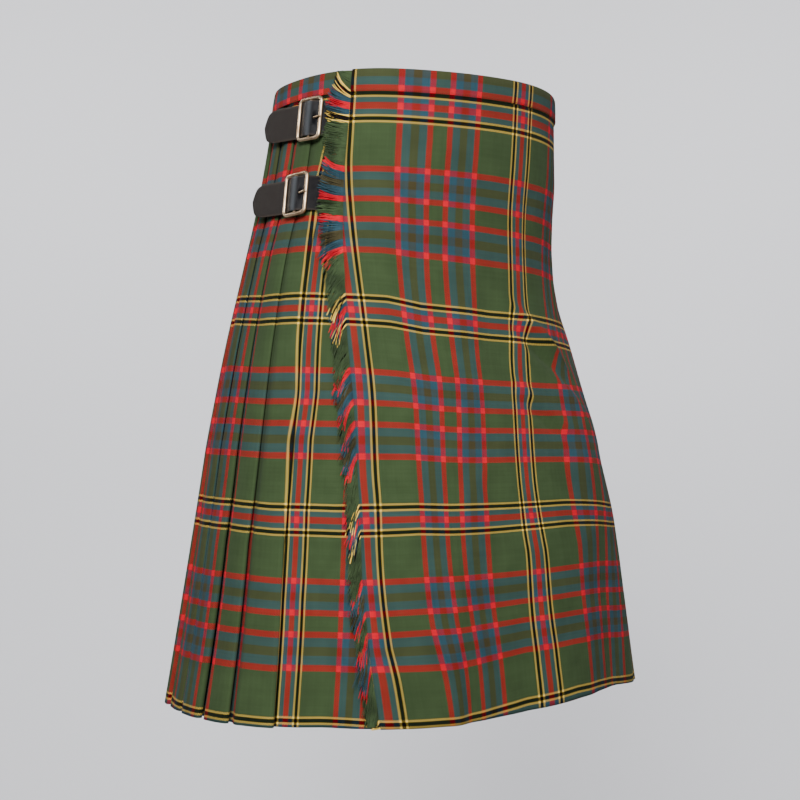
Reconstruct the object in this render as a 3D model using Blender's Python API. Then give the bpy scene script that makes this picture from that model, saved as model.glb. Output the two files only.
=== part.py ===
"""A worn Scottish kilt: apron over pleats, fringed apron edge, waistband and two buckled leather straps.

Blender 4.5, metres, +Z up. The wearer faces -Y, so the wearer's right is -X. The origin is the
centre of the waist, level with the middle of the upper strap.

Every piece of cloth is placed by three numbers:
    across  distance round the body from the centre front, positive towards the wearer's right,
    drop    distance down the cloth from the top edge,
    out     distance outwards from the body line.
"""

from functools import lru_cache
from math import cos, pi, sin, sqrt

import bpy
import numpy as np

# ---------------------------------------------------------------- driving dimensions

LENGTH = 0.610  # top edge to hem, down the cloth
TOP = 0.044  # top edge above the origin
CLOTH = 0.0012  # thickness of the worsted
SEAM = 0.0003  # space between separate pieces
ROUNDNESS = 2.35  # superellipse exponent of the plan sections

SECTIONS = (
    # drop, half width, front depth, back depth, shift to the wearer's left
    (0.000, 0.139, 0.134, 0.098, 0.000),
    (0.060, 0.145, 0.127, 0.113, 0.000),
    (0.120, 0.153, 0.120, 0.130, 0.000),
    (0.180, 0.165, 0.116, 0.148, 0.001),
    (0.250, 0.181, 0.122, 0.163, 0.002),
    (0.330, 0.198, 0.138, 0.175, 0.004),
    (0.420, 0.215, 0.152, 0.186, 0.006),
    (0.520, 0.235, 0.160, 0.194, 0.008),
    (0.610, 0.253, 0.160, 0.202, 0.010),
)
MIDDLE_BACK = 0.010  # the depths are counted from a line this far behind the origin

FOLDS = (
    # name, across at its top, across at its foot, top drop, foot drop, half width, height
    ("hollow over the left thigh", -0.130, -0.190, 0.08, 0.36, 0.070, -0.014),
    ("swell on the left hip", -0.185, -0.185, 0.22, 0.38, 0.045, 0.006),
    ("ridge across the left thigh", -0.045, -0.135, 0.20, 0.36, 0.016, 0.004),
    ("trough under that ridge", -0.030, -0.100, 0.28, 0.46, 0.018, -0.003),
    ("left thigh", -0.090, -0.110, 0.27, 0.52, 0.050, 0.007),
    ("drop of the left flare", -0.175, -0.215, 0.34, 0.66, 0.034, -0.003),
    ("trough beside the left flare", -0.110, -0.150, 0.36, 0.66, 0.026, -0.006),
    ("middle flare", -0.030, -0.055, 0.40, 0.66, 0.036, 0.006),
    ("middle trough", 0.035, 0.030, 0.38, 0.66, 0.030, -0.004),
    ("right thigh", 0.095, 0.110, 0.26, 0.62, 0.050, 0.005),
    ("trough beside the fringe", 0.190, 0.205, 0.30, 0.66, 0.020, -0.007),
    ("hollow of the right hip", 0.330, 0.400, 0.36, 0.62, 0.100, -0.006),
    ("back sway", 0.520, 0.640, 0.24, 0.66, 0.080, 0.006),
)

LIFTS = (
    # name, across, half width, drop where it is full, drop where it ends, height
    ("dip of the top edge", 0.070, 0.090, 0.0, 0.20, -0.005),
    ("rise of the left hem", -0.110, 0.120, LENGTH, 0.20, 0.014),
)

# Over-apron
APRON_EDGE = (
    # drop, across: the fringed edge on the right hip
    (0.00, 0.147),
    (0.10, 0.149),
    (0.20, 0.149),
    (0.31, 0.156),
    (0.39, 0.162),
    (0.48, 0.167),
    (0.55, 0.165),
    (0.61, 0.158),
)
APRON_LEFT = (
    # drop, across: the folded edge on the left hip
    (0.00, -0.205),
    (0.17, -0.226),
    (0.31, -0.262),
    (0.45, -0.300),
    (0.61, -0.336),
)
APRON_FRONT_OUT = 0.0032  # its inner face above the body line, over the under-apron and its band
APRON_EDGE_OUT = 0.0046  # the same at the right hip, where it lies over the straps
APRON_RISE = (0.070, 0.125)  # across: where it rises from the first to the second
APRON_SETTLE = 0.035  # across: how far from its left fold it comes down to the first
UNDER_RIGHT = 0.118  # across: where the under-apron meets the pleats, hidden
UNDER_LEFT = ((0.00, -0.165), (0.17, -0.182), (0.61, -0.270))  # drop, across: its hemmed edge

# Pleats
PLEATS = 19
FIRST_FOLD = (
    # drop, across: the folded edge of the first pleat, just behind the fringe
    (0.00, 0.160),
    (0.10, 0.163),
    (0.15, 0.174),
    (0.17, 0.178),
    (0.25, 0.191),
    (0.32, 0.206),
    (0.45, 0.231),
    (0.61, 0.246),
)
FELL = 0.168  # drop to which the pleats are sewn down
TUCK = 0.52  # depth of a pleat's hidden fold, as a part of the pleat's width
LAYER_SEWN = 0.0016  # one layer of a pleat above the next, where it is sewn
LAYER_HEM = 0.0038  # the same at the hem, where the pleats stand open
PLEAT_DROPS = (0.0, 0.05, 0.11, FELL, 0.20, 0.26, 0.33, 0.41, 0.50, 0.56, LENGTH)
APRON_DROPS = (0.0, 0.05, 0.11, FELL, 0.20, 0.26, 0.295, 0.33, 0.37, 0.41, 0.455, 0.50, 0.56, LENGTH)

# Waistband
BAND_DEPTH = 0.020
BAND_PROUD = 0.0004  # space between the band and what it covers
BAND_RISE = 0.016  # across: how long it takes to climb onto the first pleat
BAND_OVER = 0.0006  # how far its upper edge stands above the cloth

# Fringe
STRANDS = 140
STRIP = 0.0026  # width of the strip that the strands grow from
STRAND_LENGTHS = (0.0145, 0.0175, 0.0160, 0.0180, 0.0150, 0.0170, 0.0178)
STRAND_FALLS = (0.20, 0.55, 0.38, 0.75, 0.30, 0.62)  # how far a strand turns down, as a part of its length
STRAND_WIDTH = 0.84  # width of a strand as a part of its share of the edge
STRAND_TIP = 0.45  # width of a strand's end, as a part of its root
STRAND_THIN = 0.65  # thickness of a strand's end, as a part of its root
STRAND_RINGS = ((0.45, 0.84), (1.0, 1.0))  # part of the length, part of the rise over the straps
STRAND_OVER = 0.0034  # how far the strands rise from the strip to clear the straps
STRAND_LAYER = 0.0012  # each of three layers of strands stands this far over the one before at its ends
HEM_SPACE = 0.002  # room between the lowest strand's end and the hem
HEM_FALL = 0.02  # least fall of a strand, at the hem

# Straps and buckles
STRAP_WIDTH = 0.0324
STRAP_THICK = 0.0020
STRAPS = (
    # name, across of the buckle's middle, drop of its middle
    ("upper", 0.184, 0.044),
    ("lower", 0.193, 0.118),
)
STRAP_HIDDEN = 0.012  # length of a strap that lies under the over-apron
STRAP_FREE = 0.066  # from the centre bar to the strap's tip
STRAP_LIFT = 0.007  # how far the tip stands off
STRAP_SPACE = 0.0007  # space under the strap where it lies over the single cloth
STRAP_PAST = 0.0040  # from the frame's far side to where the strap lies on the pleats
STRAP_CLIMB = (
    # distance past the edge of the first fold, part of the climb onto the pleats
    (-0.0075, 0.0),
    (-0.0028, 0.91),
    (0.0020, 1.0),
)
STRAP_WAVE = (
    # part of the way from the centre bar to the frame's side, part of the rise over the bar
    (-1.0, 0.0),
    (-0.68, 0.40),
    (-0.34, 0.86),
    (0.0, 1.0),
    (0.34, 0.86),
    (0.68, 0.40),
    (1.0, 0.0),
)
STRAP_TIP = (
    # part of the free length, part of the full width
    (0.0, 1.0),
    (0.30, 1.0),
    (0.55, 0.97),
    (0.74, 0.88),
    (0.88, 0.70),
    (0.96, 0.52),
    (1.0, 0.36),
)
FRAME_LONG = 0.0425  # outer height of a buckle's frame
FRAME_WIDE = 0.0310  # outer width
FRAME_WIRE = 0.0017  # radius of its wire
FRAME_CORNER = 0.0040
BAR_WIRE = 0.0012
PRONG_WIRE = 0.0011
PRONG_PATH = (
    # part of the way from the centre bar to the frame's near side, part of the rise onto it
    (0.0, 0.0),
    (0.40, 0.40),
    (1.0, 1.0),
    (1.27, 0.94),
)
PLEAT_TOP = 0.0048  # what is buckled on lies this far out over the sewn pleats
FRAME_OUT = PLEAT_TOP + 0.0056  # middle of the frame's wire
TAB_THICK = 0.0011
TAB_WIDTH = 0.020
TAB_PATH = (
    # distance from the centre bar, drop from the middle of the bar to the middle of the tab, whether on the
    # buckle's plane
    (BAR_WIRE + SEAM, 0.0, True),
    (0.0045, 0.0020, True),
    (0.0090, 0.0049, False),
    (0.0190, 0.0050, False),
    (0.0320, 0.0050, False),
)

COLOURS = {
    # base colour, roughness, metallic
    "tartan": ((0.085, 0.110, 0.045), 0.90, 0.0),
    "band": ((0.080, 0.095, 0.050), 0.90, 0.0),
    "yarn": ((0.120, 0.130, 0.050), 0.95, 0.0),
    "leather": ((0.022, 0.020, 0.021), 0.45, 0.0),
    "brass": ((0.560, 0.440, 0.290), 0.35, 1.0),
}

# ---------------------------------------------------------------- the body line

GRID_DROPS = np.linspace(0.0, LENGTH, 62)
GRID_ANGLES = np.radians(np.arange(0.0, 361.0, 2.0) - 90.0)  # starts at the centre front


def read(table, drop):
    """The value of a two-column table at this drop."""
    drops, values = zip(*table)
    return float(np.interp(drop, drops, values))


def section_values(column):
    """One column of SECTIONS on every grid drop, as a smooth curve through its rows."""
    rows = np.array(SECTIONS)
    drops, values = rows[:, 0], rows[:, column]
    slopes = np.gradient(values, drops)
    index = np.clip(np.searchsorted(drops, GRID_DROPS) - 1, 0, len(drops) - 2)
    width = drops[index + 1] - drops[index]
    part = (GRID_DROPS - drops[index]) / width
    return (
        (2 * part**3 - 3 * part**2 + 1) * values[index]
        + (part**3 - 2 * part**2 + part) * width * slopes[index]
        + (3 * part**2 - 2 * part**3) * values[index + 1]
        + (part**3 - part**2) * width * slopes[index + 1]
    )


def body_grid():
    """Plan points, their distances round the body and their heights, a row for each grid drop."""
    half_width, front, back, shift = (section_values(column)[:, None] for column in (1, 2, 3, 4))
    sideways, forwards = -np.sin(GRID_ANGLES + pi / 2), np.cos(GRID_ANGLES + pi / 2)
    power = 2 / ROUNDNESS
    x = shift + half_width * np.sign(sideways) * abs(sideways) ** power
    depth = np.where(forwards > 0, front, back)
    y = MIDDLE_BACK - depth * np.sign(forwards) * abs(forwards) ** power
    steps = np.hypot(np.diff(x, axis=1), np.diff(y, axis=1))
    around = np.concatenate([np.zeros((len(x), 1)), np.cumsum(steps, axis=1)], axis=1)
    spread = np.hypot(np.diff(x, axis=0), np.diff(y, axis=0))
    fall = np.sqrt(np.diff(GRID_DROPS)[:, None] ** 2 - spread**2)
    z = TOP - np.concatenate([np.zeros((1, x.shape[1])), np.cumsum(fall, axis=0)])
    return x, y, z, around


GRID_X, GRID_Y, GRID_Z, GRID_AROUND = body_grid()


def girth(drop):
    """Distance once round the body line at this drop."""
    return float(np.interp(drop, GRID_DROPS, GRID_AROUND[:, -1]))


def drape(across, drop):
    """How far the folds of the cloth stand out here."""
    around = girth(drop)
    total = 0.0
    for _, top_across, foot_across, top, foot, width, height in FOLDS:
        part = (drop - top) / (foot - top)
        if not 0 < part < 1.0001:
            continue
        centre = top_across + (foot_across - top_across) * part
        offset = (across - centre + around / 2) % around - around / 2
        if foot <= LENGTH:
            swell = sin(pi * min(part, 1.0)) ** 1.5
        else:
            swell = sin(pi / 2 * min(part * foot / LENGTH, 1.0))
        total += height * swell * np.exp(-((offset / width) ** 2))
    return float(total)


def lift(across, drop):
    """How far the cloth rides up here."""
    around = girth(drop)
    total = 0.0
    for _, centre, width, full, end, height in LIFTS:
        offset = (across - centre + around / 2) % around - around / 2
        part = (drop - end) / (full - end)
        if part > 0:
            total += height * part**2 * (3 - 2 * part) * np.exp(-((offset / width) ** 2))
    return float(total)


def on_row(row, across):
    """Position and outward direction at a distance round one row of the grid."""
    length = GRID_AROUND[row, -1]
    reach = 0.004
    sample = np.array([across - reach, across, across + reach]) % length
    x = np.interp(sample, GRID_AROUND[row], GRID_X[row])
    y = np.interp(sample, GRID_AROUND[row], GRID_Y[row])
    z = np.interp(sample[1], GRID_AROUND[row], GRID_Z[row])
    along_x, along_y = x[2] - x[0], y[2] - y[0]
    size = sqrt(along_x**2 + along_y**2)
    return np.array([x[1], y[1], z, -along_y / size, along_x / size])


@lru_cache(maxsize=None)
def body_point(across, drop):
    """Position and outward direction on the body line, with the folds added."""
    spot = min(max(drop, 0.0), LENGTH) / GRID_DROPS[1]
    row = min(int(spot), len(GRID_DROPS) - 2)
    part = spot - row
    found = on_row(row, across) * (1 - part) + on_row(row + 1, across) * part
    x, y, z, out_x, out_y = found
    swell = drape(across, drop)
    z += lift(across, min(max(drop, 0.0), LENGTH)) - max(drop - LENGTH, 0.0) - min(drop, 0.0)
    size = sqrt(out_x**2 + out_y**2)
    return x + swell * out_x / size, y + swell * out_y / size, z, out_x / size, out_y / size


def place(across, drop, out):
    """The point that lies across, drop and out."""
    x, y, z, out_x, out_y = body_point(round(across, 6), round(drop, 6))
    return (x + out * out_x, y + out * out_y, z)


# ---------------------------------------------------------------- making meshes


def material(name):
    colour, roughness, metallic = COLOURS[name]
    made = bpy.data.materials.get(name) or bpy.data.materials.new(name)
    made.use_nodes = True
    shader = made.node_tree.nodes["Principled BSDF"]
    shader.inputs["Base Color"].default_value = (*colour, 1.0)
    shader.inputs["Roughness"].default_value = roughness
    shader.inputs["Metallic"].default_value = metallic
    return made


def add_piece(name, points, faces, finish):
    """One named object from points and outward faces."""
    mesh = bpy.data.meshes.new(name)
    mesh.from_pydata(points, [], faces)
    mesh.materials.append(material(finish))
    mesh.shade_smooth()
    mesh.set_sharp_from_angle(angle=pi / 4)
    piece = bpy.data.objects.new(name, mesh)
    bpy.context.scene.collection.objects.link(piece)
    return piece


def wall(name, rows, finish):
    """A closed wall of cloth. Each row is its outer points and its inner points, from the apron side round;
    rows run down the cloth, and seen from outside a row runs from right to left."""
    count = len(rows[0][0])
    points = [point for outer, inner in rows for point in (*outer, *inner)]

    def index(row, side, column):
        return (2 * row + side) * count + column

    faces = []
    for row in range(len(rows) - 1):
        for column in range(count - 1):
            left = column + 1
            corners = ((row, column), (row, left), (row + 1, left), (row + 1, column))
            faces.append([index(at_row, 0, at_column) for at_row, at_column in corners])
            faces.append([index(at_row, 1, at_column) for at_row, at_column in corners[::-1]])
        for column, turn in ((0, 1), (count - 1, -1)):
            corners = ((row, 0), (row + 1, 0), (row + 1, 1), (row, 1))
            faces.append([index(at_row, side, column) for at_row, side in corners[::turn]])
    for row, turn in ((0, -1), (len(rows) - 1, 1)):
        for column in range(count - 1):
            corners = ((0, column), (0, column + 1), (1, column + 1), (1, column))
            faces.append([index(row, side, at_column) for side, at_column in corners[::turn]])
    return add_piece(name, points, faces, finish)


def spread(start, end, count):
    return [start + (end - start) * i / (count - 1) for i in range(count)]


def smooth_step(value, low, high):
    part = min(max((value - low) / (high - low), 0.0), 1.0)
    return part * part * (3 - 2 * part)


# ---------------------------------------------------------------- cloth


def layer_step(drop):
    """Distance between the layers of a pleat at this drop."""
    return LAYER_SEWN + (LAYER_HEM - LAYER_SEWN) * smooth_step(drop, FELL, LENGTH)


def fold_across(number, drop):
    """Across of one pleat's folded edge: 0 is beside the fringe, PLEATS is the over-apron's left edge."""
    first = read(FIRST_FOLD, drop)
    last = girth(drop) + read(APRON_LEFT, drop)
    return first + (last - first) * number / PLEATS


def pleat_return(number, drop):
    """The hidden part of a pleat, as pairs of (across, out) on the wall's outer and inner side: the cloth runs
    under the fold of this number, turns, and comes back to that fold."""
    step = layer_step(drop)
    half = CLOTH / 2
    inner, middle, outer = half, half + step, half + 2 * step
    turn = step / 2
    fold = fold_across(number, drop)
    width = fold_across(number, drop) - fold_across(number - 1, drop)
    deep = fold + TUCK * width
    gap = turn - half
    return {
        "under the fold": ((fold, inner + half), (fold, inner - half)),
        "deep end": ((deep - turn, inner + half), (deep - turn, inner - half)),
        "deep turn": ((deep - turn + gap, inner + turn), (deep + half, inner + turn)),
        "return start": ((deep - turn, middle - half), (deep - turn, middle + half)),
        "return end": ((fold + turn, middle - half), (fold + turn, middle + half)),
        "fold": ((fold - half, middle + turn), (fold + turn - gap, middle + turn)),
        "face start": ((fold + turn, outer + half), (fold + turn, outer - half)),
    }


def face_bend(number, drop):
    """Where the visible face of the pleat with this fold has passed over the hidden turn, and starts to dip
    under the next fold."""
    fold = fold_across(number, drop)
    width = fold_across(number + 1, drop) - fold
    across = fold + TUCK * width + CLOTH / 2 + SEAM
    out = CLOTH / 2 + 2 * layer_step(drop)
    return ((across, out + CLOTH / 2), (across, out - CLOTH / 2))


def make_pleats(name, first, last):
    """The pleats whose folds are numbered from first to last - 1, ending under the fold of the last one. The
    first stretch starts at the under-apron, and any other starts where the one before it turned back."""
    rows = []
    for drop in PLEAT_DROPS:
        ends = []
        if first == 0:
            start = UNDER_RIGHT + SEAM / 2
            for part in (0.0, 0.35, 0.7):
                across = start + (fold_across(0, drop) - start) * part
                ends.append(((across, CLOTH), (across, 0.0)))
        for number in range(first, last):
            turned = pleat_return(number, drop)
            if number > first or first == 0:
                ends += [turned["under the fold"], turned["deep end"], turned["deep turn"]]
            ends += [turned["return start"], turned["return end"], turned["fold"], turned["face start"]]
            ends.append(face_bend(number, drop))
        turned = pleat_return(last, drop)
        ends += [turned["under the fold"], turned["deep end"]]
        outer = [place(across, drop, out) for (across, out), _ in ends]
        inner = [place(across, drop, out) for _, (across, out) in ends]
        rows.append((outer, inner))
    wall(name, rows, "tartan")


def apron_out(across, drop):
    """How far the over-apron's inner face lies from the body line."""
    return APRON_FRONT_OUT + (APRON_EDGE_OUT - APRON_FRONT_OUT) * smooth_step(across, *APRON_RISE)


def apron_edge(drop):
    """Across of the over-apron's woven cloth on the right hip, where the fringe's strip begins."""
    return read(APRON_EDGE, drop) - STRIP - SEAM


def make_over_apron():
    """The outer front panel. Its left edge is the fold of the last pleat, with the return behind it."""
    rows = []
    for drop in APRON_DROPS:
        turned = pleat_return(PLEATS, drop)
        around = girth(drop)
        ends = [turned[part] for part in ("return start", "return end", "fold", "face start")]
        ends = [((a - around, out), (b - around, inner)) for (a, out), (b, inner) in ends]
        start = ends[-1][0][0]
        high = 2 * layer_step(drop)
        for across in spread(start, apron_edge(drop), 30)[1:]:
            low = apron_out(across, drop)
            out = high + (low - high) * smooth_step(across, start, start + APRON_SETTLE)
            ends.append(((across, out + CLOTH), (across, out)))
        outer = [place(across, drop, out) for (across, out), _ in ends]
        inner = [place(across, drop, out) for _, (across, out) in ends]
        rows.append((outer, inner))
    wall("over_apron", rows, "tartan")


def make_under_apron():
    """The inner front panel, from its hemmed edge on the left hip to the seam with the pleats."""
    rows = []
    for drop in PLEAT_DROPS:
        line = spread(read(UNDER_LEFT, drop), UNDER_RIGHT - SEAM / 2, 20)
        outer = [place(across, drop, CLOTH) for across in line]
        inner = [place(across, drop, 0.0) for across in line]
        rows.append((outer, inner))
    wall("under_apron", rows, "tartan")


def make_band(name, ends, count, out_of):
    """A strip of waistband between the ends that ends(drop) gives, over cloth whose outer face is
    out_of(across, drop)."""
    rows = []
    for drop in (-BAND_OVER, BAND_DEPTH / 2, BAND_DEPTH):
        line = spread(*ends(drop), count)
        low = [out_of(across, drop) + BAND_PROUD for across in line]
        outer = [place(across, drop, out + CLOTH) for across, out in zip(line, low)]
        inner = [place(across, drop, out) for across, out in zip(line, low)]
        rows.append((outer, inner))
    wall(name, rows, "band")


def pleats_top(across, drop):
    """Outer face of the sewn pleats at the waist, as the band bridges them."""
    sewn = CLOTH + 2 * LAYER_SEWN
    first = fold_across(0, drop)
    last = fold_across(PLEATS, drop)
    rise = smooth_step(across, first - BAND_RISE, first - CLOTH)
    dip = (1 - TUCK) * (last - first) / PLEATS - SEAM
    return CLOTH + (sewn - CLOTH) * rise * min((last + CLOTH - across) / dip, 1.0)


def under_top(across, drop):
    """Outer face of the under-apron."""
    return CLOTH


def left_fold(drop):
    """Across of the over-apron's left fold, counted from the centre front."""
    return fold_across(PLEATS, drop) - girth(drop)


def over_top(across, drop):
    """Outer face of the over-apron at the waist."""
    sewn = CLOTH + 2 * LAYER_SEWN
    low = apron_out(across, drop) + CLOTH
    start = left_fold(drop)
    return sewn + (low - sewn) * smooth_step(across, start, start + APRON_SETTLE)


def make_waistband():
    make_band(
        "waistband_over_apron", lambda drop: (left_fold(drop) - CLOTH / 2, apron_edge(drop)), 34, over_top
    )
    make_band(
        "waistband_pleats",
        lambda drop: (UNDER_RIGHT + SEAM / 2, fold_across(PLEATS, drop) - CLOTH),
        56,
        pleats_top,
    )
    make_band(
        "waistband_under_apron",
        lambda drop: (read(UNDER_LEFT, drop), UNDER_RIGHT - SEAM / 2),
        26,
        under_top,
    )


# ---------------------------------------------------------------- fringe


def make_fringe():
    """The frayed edge: a narrow strip beside the over-apron, with strands drawn out of it."""
    drops = spread(0.0, LENGTH, STRANDS + 1)
    points, faces = [], []

    def add(*new):
        points.extend(new)
        return list(range(len(points) - len(new), len(points)))

    rings = []
    for drop in drops:
        edge = read(APRON_EDGE, drop)
        low = apron_out(edge, drop)
        inner_right = place(edge - STRIP, drop, low)
        outer_right = place(edge - STRIP, drop, low + CLOTH)
        outer_left = place(edge, drop, low + CLOTH)
        inner_left = place(edge, drop, low)
        rings.append(add(outer_right, outer_left, inner_left, inner_right))
    for upper, lower in zip(rings, rings[1:]):
        for a, b in ((0, 1), (2, 3), (3, 0)):
            faces.append([upper[a], upper[b], lower[b], lower[a]])
    faces.append(rings[0][::-1])
    faces.append(rings[-1])

    for number, (upper, lower) in enumerate(zip(rings, rings[1:])):
        length = STRAND_LENGTHS[number % len(STRAND_LENGTHS)]
        drop = (drops[number] + drops[number + 1]) / 2
        room = (LENGTH - HEM_SPACE - drop) / length
        fall = min(STRAND_FALLS[number % len(STRAND_FALLS)], max(room, HEM_FALL))
        edge = read(APRON_EDGE, drop)
        low = apron_out(edge, drop)
        before = [upper[1], upper[2], lower[2], lower[1]]
        for part, lift_part in STRAND_RINGS:
            across = edge + length * part * sqrt(1 - (fall * part) ** 2)
            level = drop + length * fall * part**1.6
            out = low + STRAND_OVER * lift_part + STRAND_LAYER * part * (1 + number % 3)
            tall = (drops[1] - drops[0]) * STRAND_WIDTH / 2 * (1 + (STRAND_TIP - 1) * part)
            thick = CLOTH * (1 + (STRAND_THIN - 1) * part)
            now = add(
                place(across, level - tall, out + thick),
                place(across, level - tall, out),
                place(across, level + tall, out),
                place(across, level + tall, out + thick),
            )
            for a, b in ((0, 1), (1, 2), (2, 3), (3, 0)):
                faces.append([before[a], before[b], now[b], now[a]])
            before = now
        faces.append(before)
    add_piece("fringe", points, faces, "yarn")


# ---------------------------------------------------------------- straps and buckles


def buckle_plane(centre, drop):
    """The flat plane that touches the cloth at a buckle's centre: its middle, and its directions across, down
    and out."""
    reach = 0.010
    middle = np.array(place(centre, drop, 0.0))
    down = np.array(place(centre, drop + reach, 0.0)) - np.array(place(centre, drop - reach, 0.0))
    across = np.array(place(centre + reach, drop, 0.0)) - np.array(place(centre - reach, drop, 0.0))
    down /= np.linalg.norm(down)
    out = np.cross(across, down)
    out /= np.linalg.norm(out)
    return middle, np.cross(down, out), down, out


def on_plane(plane, across, down, out):
    middle, direction_across, direction_down, direction_out = plane
    return tuple(middle + across * direction_across + down * direction_down + out * direction_out)


def strap_stations(root, rise):
    """A strap's path as (distance from the buckle's centre bar, out of its underside, part of its full width,
    whether on the buckle's plane). It comes from the apron at root, climbs over the first pleat at rise, goes
    under the near side of the frame, over the centre bar, under the far side, and ends free."""
    side = FRAME_WIDE / 2 - FRAME_WIRE
    under = FRAME_OUT - FRAME_WIRE - SEAM - STRAP_THICK
    over = FRAME_OUT + BAR_WIRE + SEAM
    low = CLOTH + STRAP_SPACE
    stations = [(along, low, 1.0, False) for along in spread(root, rise + STRAP_CLIMB[0][0], 3)]
    for along, part in STRAP_CLIMB[1:]:
        stations.append((rise + along, low + (PLEAT_TOP + SEAM - low) * part, 1.0, False))
    for along, part in STRAP_WAVE:
        stations.append((side * along, under + (over - under) * part, 1.0, True))
    near = side + STRAP_PAST
    for part, wide in STRAP_TIP:
        out = PLEAT_TOP + STRAP_THICK + STRAP_LIFT * part**2
        stations.append((near + (STRAP_FREE - near) * part, out, wide, False))
    return stations


def make_leather(name, centre, drop, stations, width, thick):
    """A flat strip of leather along its stations."""
    plane = buckle_plane(centre, drop)
    rows = []
    for along, out, wide, flat in stations:
        faces = []
        for level in (out + thick, out):
            if flat:
                line = [on_plane(plane, along, width * wide * part, level) for part in (0.5, 0.0, -0.5)]
            else:
                line = [place(centre + along, drop + width * wide * part, level) for part in (0.5, 0.0, -0.5)]
            faces.append(line)
        rows.append(tuple(faces))
    return wall(name, rows, "leather")


def join(piece, other, operation):
    """Joins the other object to the piece, or cuts it away, and hides it."""
    other.hide_render = True
    other.display_type = "WIRE"
    step = piece.modifiers.new(other.name, "BOOLEAN")
    step.object = other
    step.operation = operation
    step.solver = "EXACT"


def tube(name, path, out, radius, sides, closed):
    """A round brass wire along a path that lies in a plane facing out."""
    points, faces = [], []
    path = [np.array(spot) for spot in path]
    count = len(path)
    for i, spot in enumerate(path):
        ahead = path[(i + 1) % count] if closed or i < count - 1 else spot
        behind = path[i - 1] if closed or i > 0 else spot
        along = (ahead - behind) / np.linalg.norm(ahead - behind)
        side = np.cross(along, out)
        side /= np.linalg.norm(side)
        up = np.cross(along, side)
        for k in range(sides):
            turn = 2 * pi * (k + 0.5) / sides
            points.append(tuple(spot + radius * (side * cos(turn) + up * sin(turn))))
    for i in range(count if closed else count - 1):
        here, there = i * sides, (i + 1) % count * sides
        for k in range(sides):
            after = (k + 1) % sides
            faces.append([here + k, here + after, there + after, there + k])
    if not closed:
        faces.append(list(range(sides))[::-1])
        faces.append([(count - 1) * sides + k for k in range(sides)])
    return add_piece(name, points, faces, "brass")


def make_buckle(name, centre, drop):
    """A round-cornered wire frame with its centre bar."""
    plane = buckle_plane(centre, drop)
    wide = FRAME_WIDE / 2 - FRAME_WIRE
    tall = FRAME_LONG / 2 - FRAME_WIRE
    path = []
    for corner, (sx, sy) in enumerate(((1, 1), (-1, 1), (-1, -1), (1, -1))):
        for part in range(4):
            turn = pi / 2 * (corner + part / 3)
            across = sx * (wide - FRAME_CORNER) + FRAME_CORNER * cos(turn)
            down = sy * (tall - FRAME_CORNER) + FRAME_CORNER * sin(turn)
            path.append(on_plane(plane, across, down, FRAME_OUT))
    frame = tube("buckle_" + name, path, plane[3], FRAME_WIRE, 8, True)
    ends = [on_plane(plane, 0.0, down, FRAME_OUT) for down in (-tall, tall)]
    bar = tube("bar_" + name, ends, plane[3], BAR_WIRE, 8, False)
    join(frame, bar, "UNION")


def prong_path(plane):
    """From the centre bar, up through the strap, to its rest on the frame's near side."""
    side = FRAME_WIDE / 2 - FRAME_WIRE
    rest = FRAME_OUT + FRAME_WIRE + PRONG_WIRE + SEAM / 2
    start = -BAR_WIRE - PRONG_WIRE - SEAM
    path = []
    for along, rise in PRONG_PATH:
        across = start + (-side - start) * along
        path.append(on_plane(plane, across, 0.0, FRAME_OUT + (rest - FRAME_OUT) * rise))
    return path


def make_strap(name, centre, drop):
    """A strap with its buckle, prong and the tab that holds the buckle."""
    root = apron_edge(drop) - STRAP_HIDDEN - centre
    rise = fold_across(0, drop - STRAP_WIDTH / 2) - centre
    strap = make_leather("strap_" + name, centre, drop, strap_stations(root, rise), STRAP_WIDTH, STRAP_THICK)
    make_buckle(name, centre, drop)
    plane = buckle_plane(centre, drop)
    route = prong_path(plane)
    tube("prong_" + name, route, plane[3], PRONG_WIRE, 6, False)
    hole = tube("hole_" + name, route, plane[3], PRONG_WIRE + SEAM, 8, False)
    join(strap, hole, "DIFFERENCE")
    tab = [(along, FRAME_OUT - TAB_THICK / 2 - fall, 1.0, flat) for along, fall, flat in TAB_PATH]
    make_leather("tab_" + name, centre, drop, tab, TAB_WIDTH, TAB_THICK)


def main():
    for old in list(bpy.data.objects):
        bpy.data.objects.remove(old)
    make_over_apron()
    make_under_apron()
    middle = PLEATS // 2
    make_pleats("pleats_right", 0, middle)
    make_pleats("pleats_left", middle, PLEATS)
    make_waistband()
    make_fringe()
    for row in STRAPS:
        make_strap(*row)


if __name__ == "__main__":
    main()
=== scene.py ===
"""A worn tartan kilt: flat aprons over knife pleats, a fringed apron edge, a waistband and buckled straps.

Every piece of cloth is placed by three numbers:
    across  distance round the body from the centre front, positive towards the wearer's right,
    drop    distance down the cloth from the top edge,
    out     distance outwards from the body line.
Lengths are in metres. The wearer faces -Y, so the wearer's right is -X.
"""

from math import cos, pi, radians, sin

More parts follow.
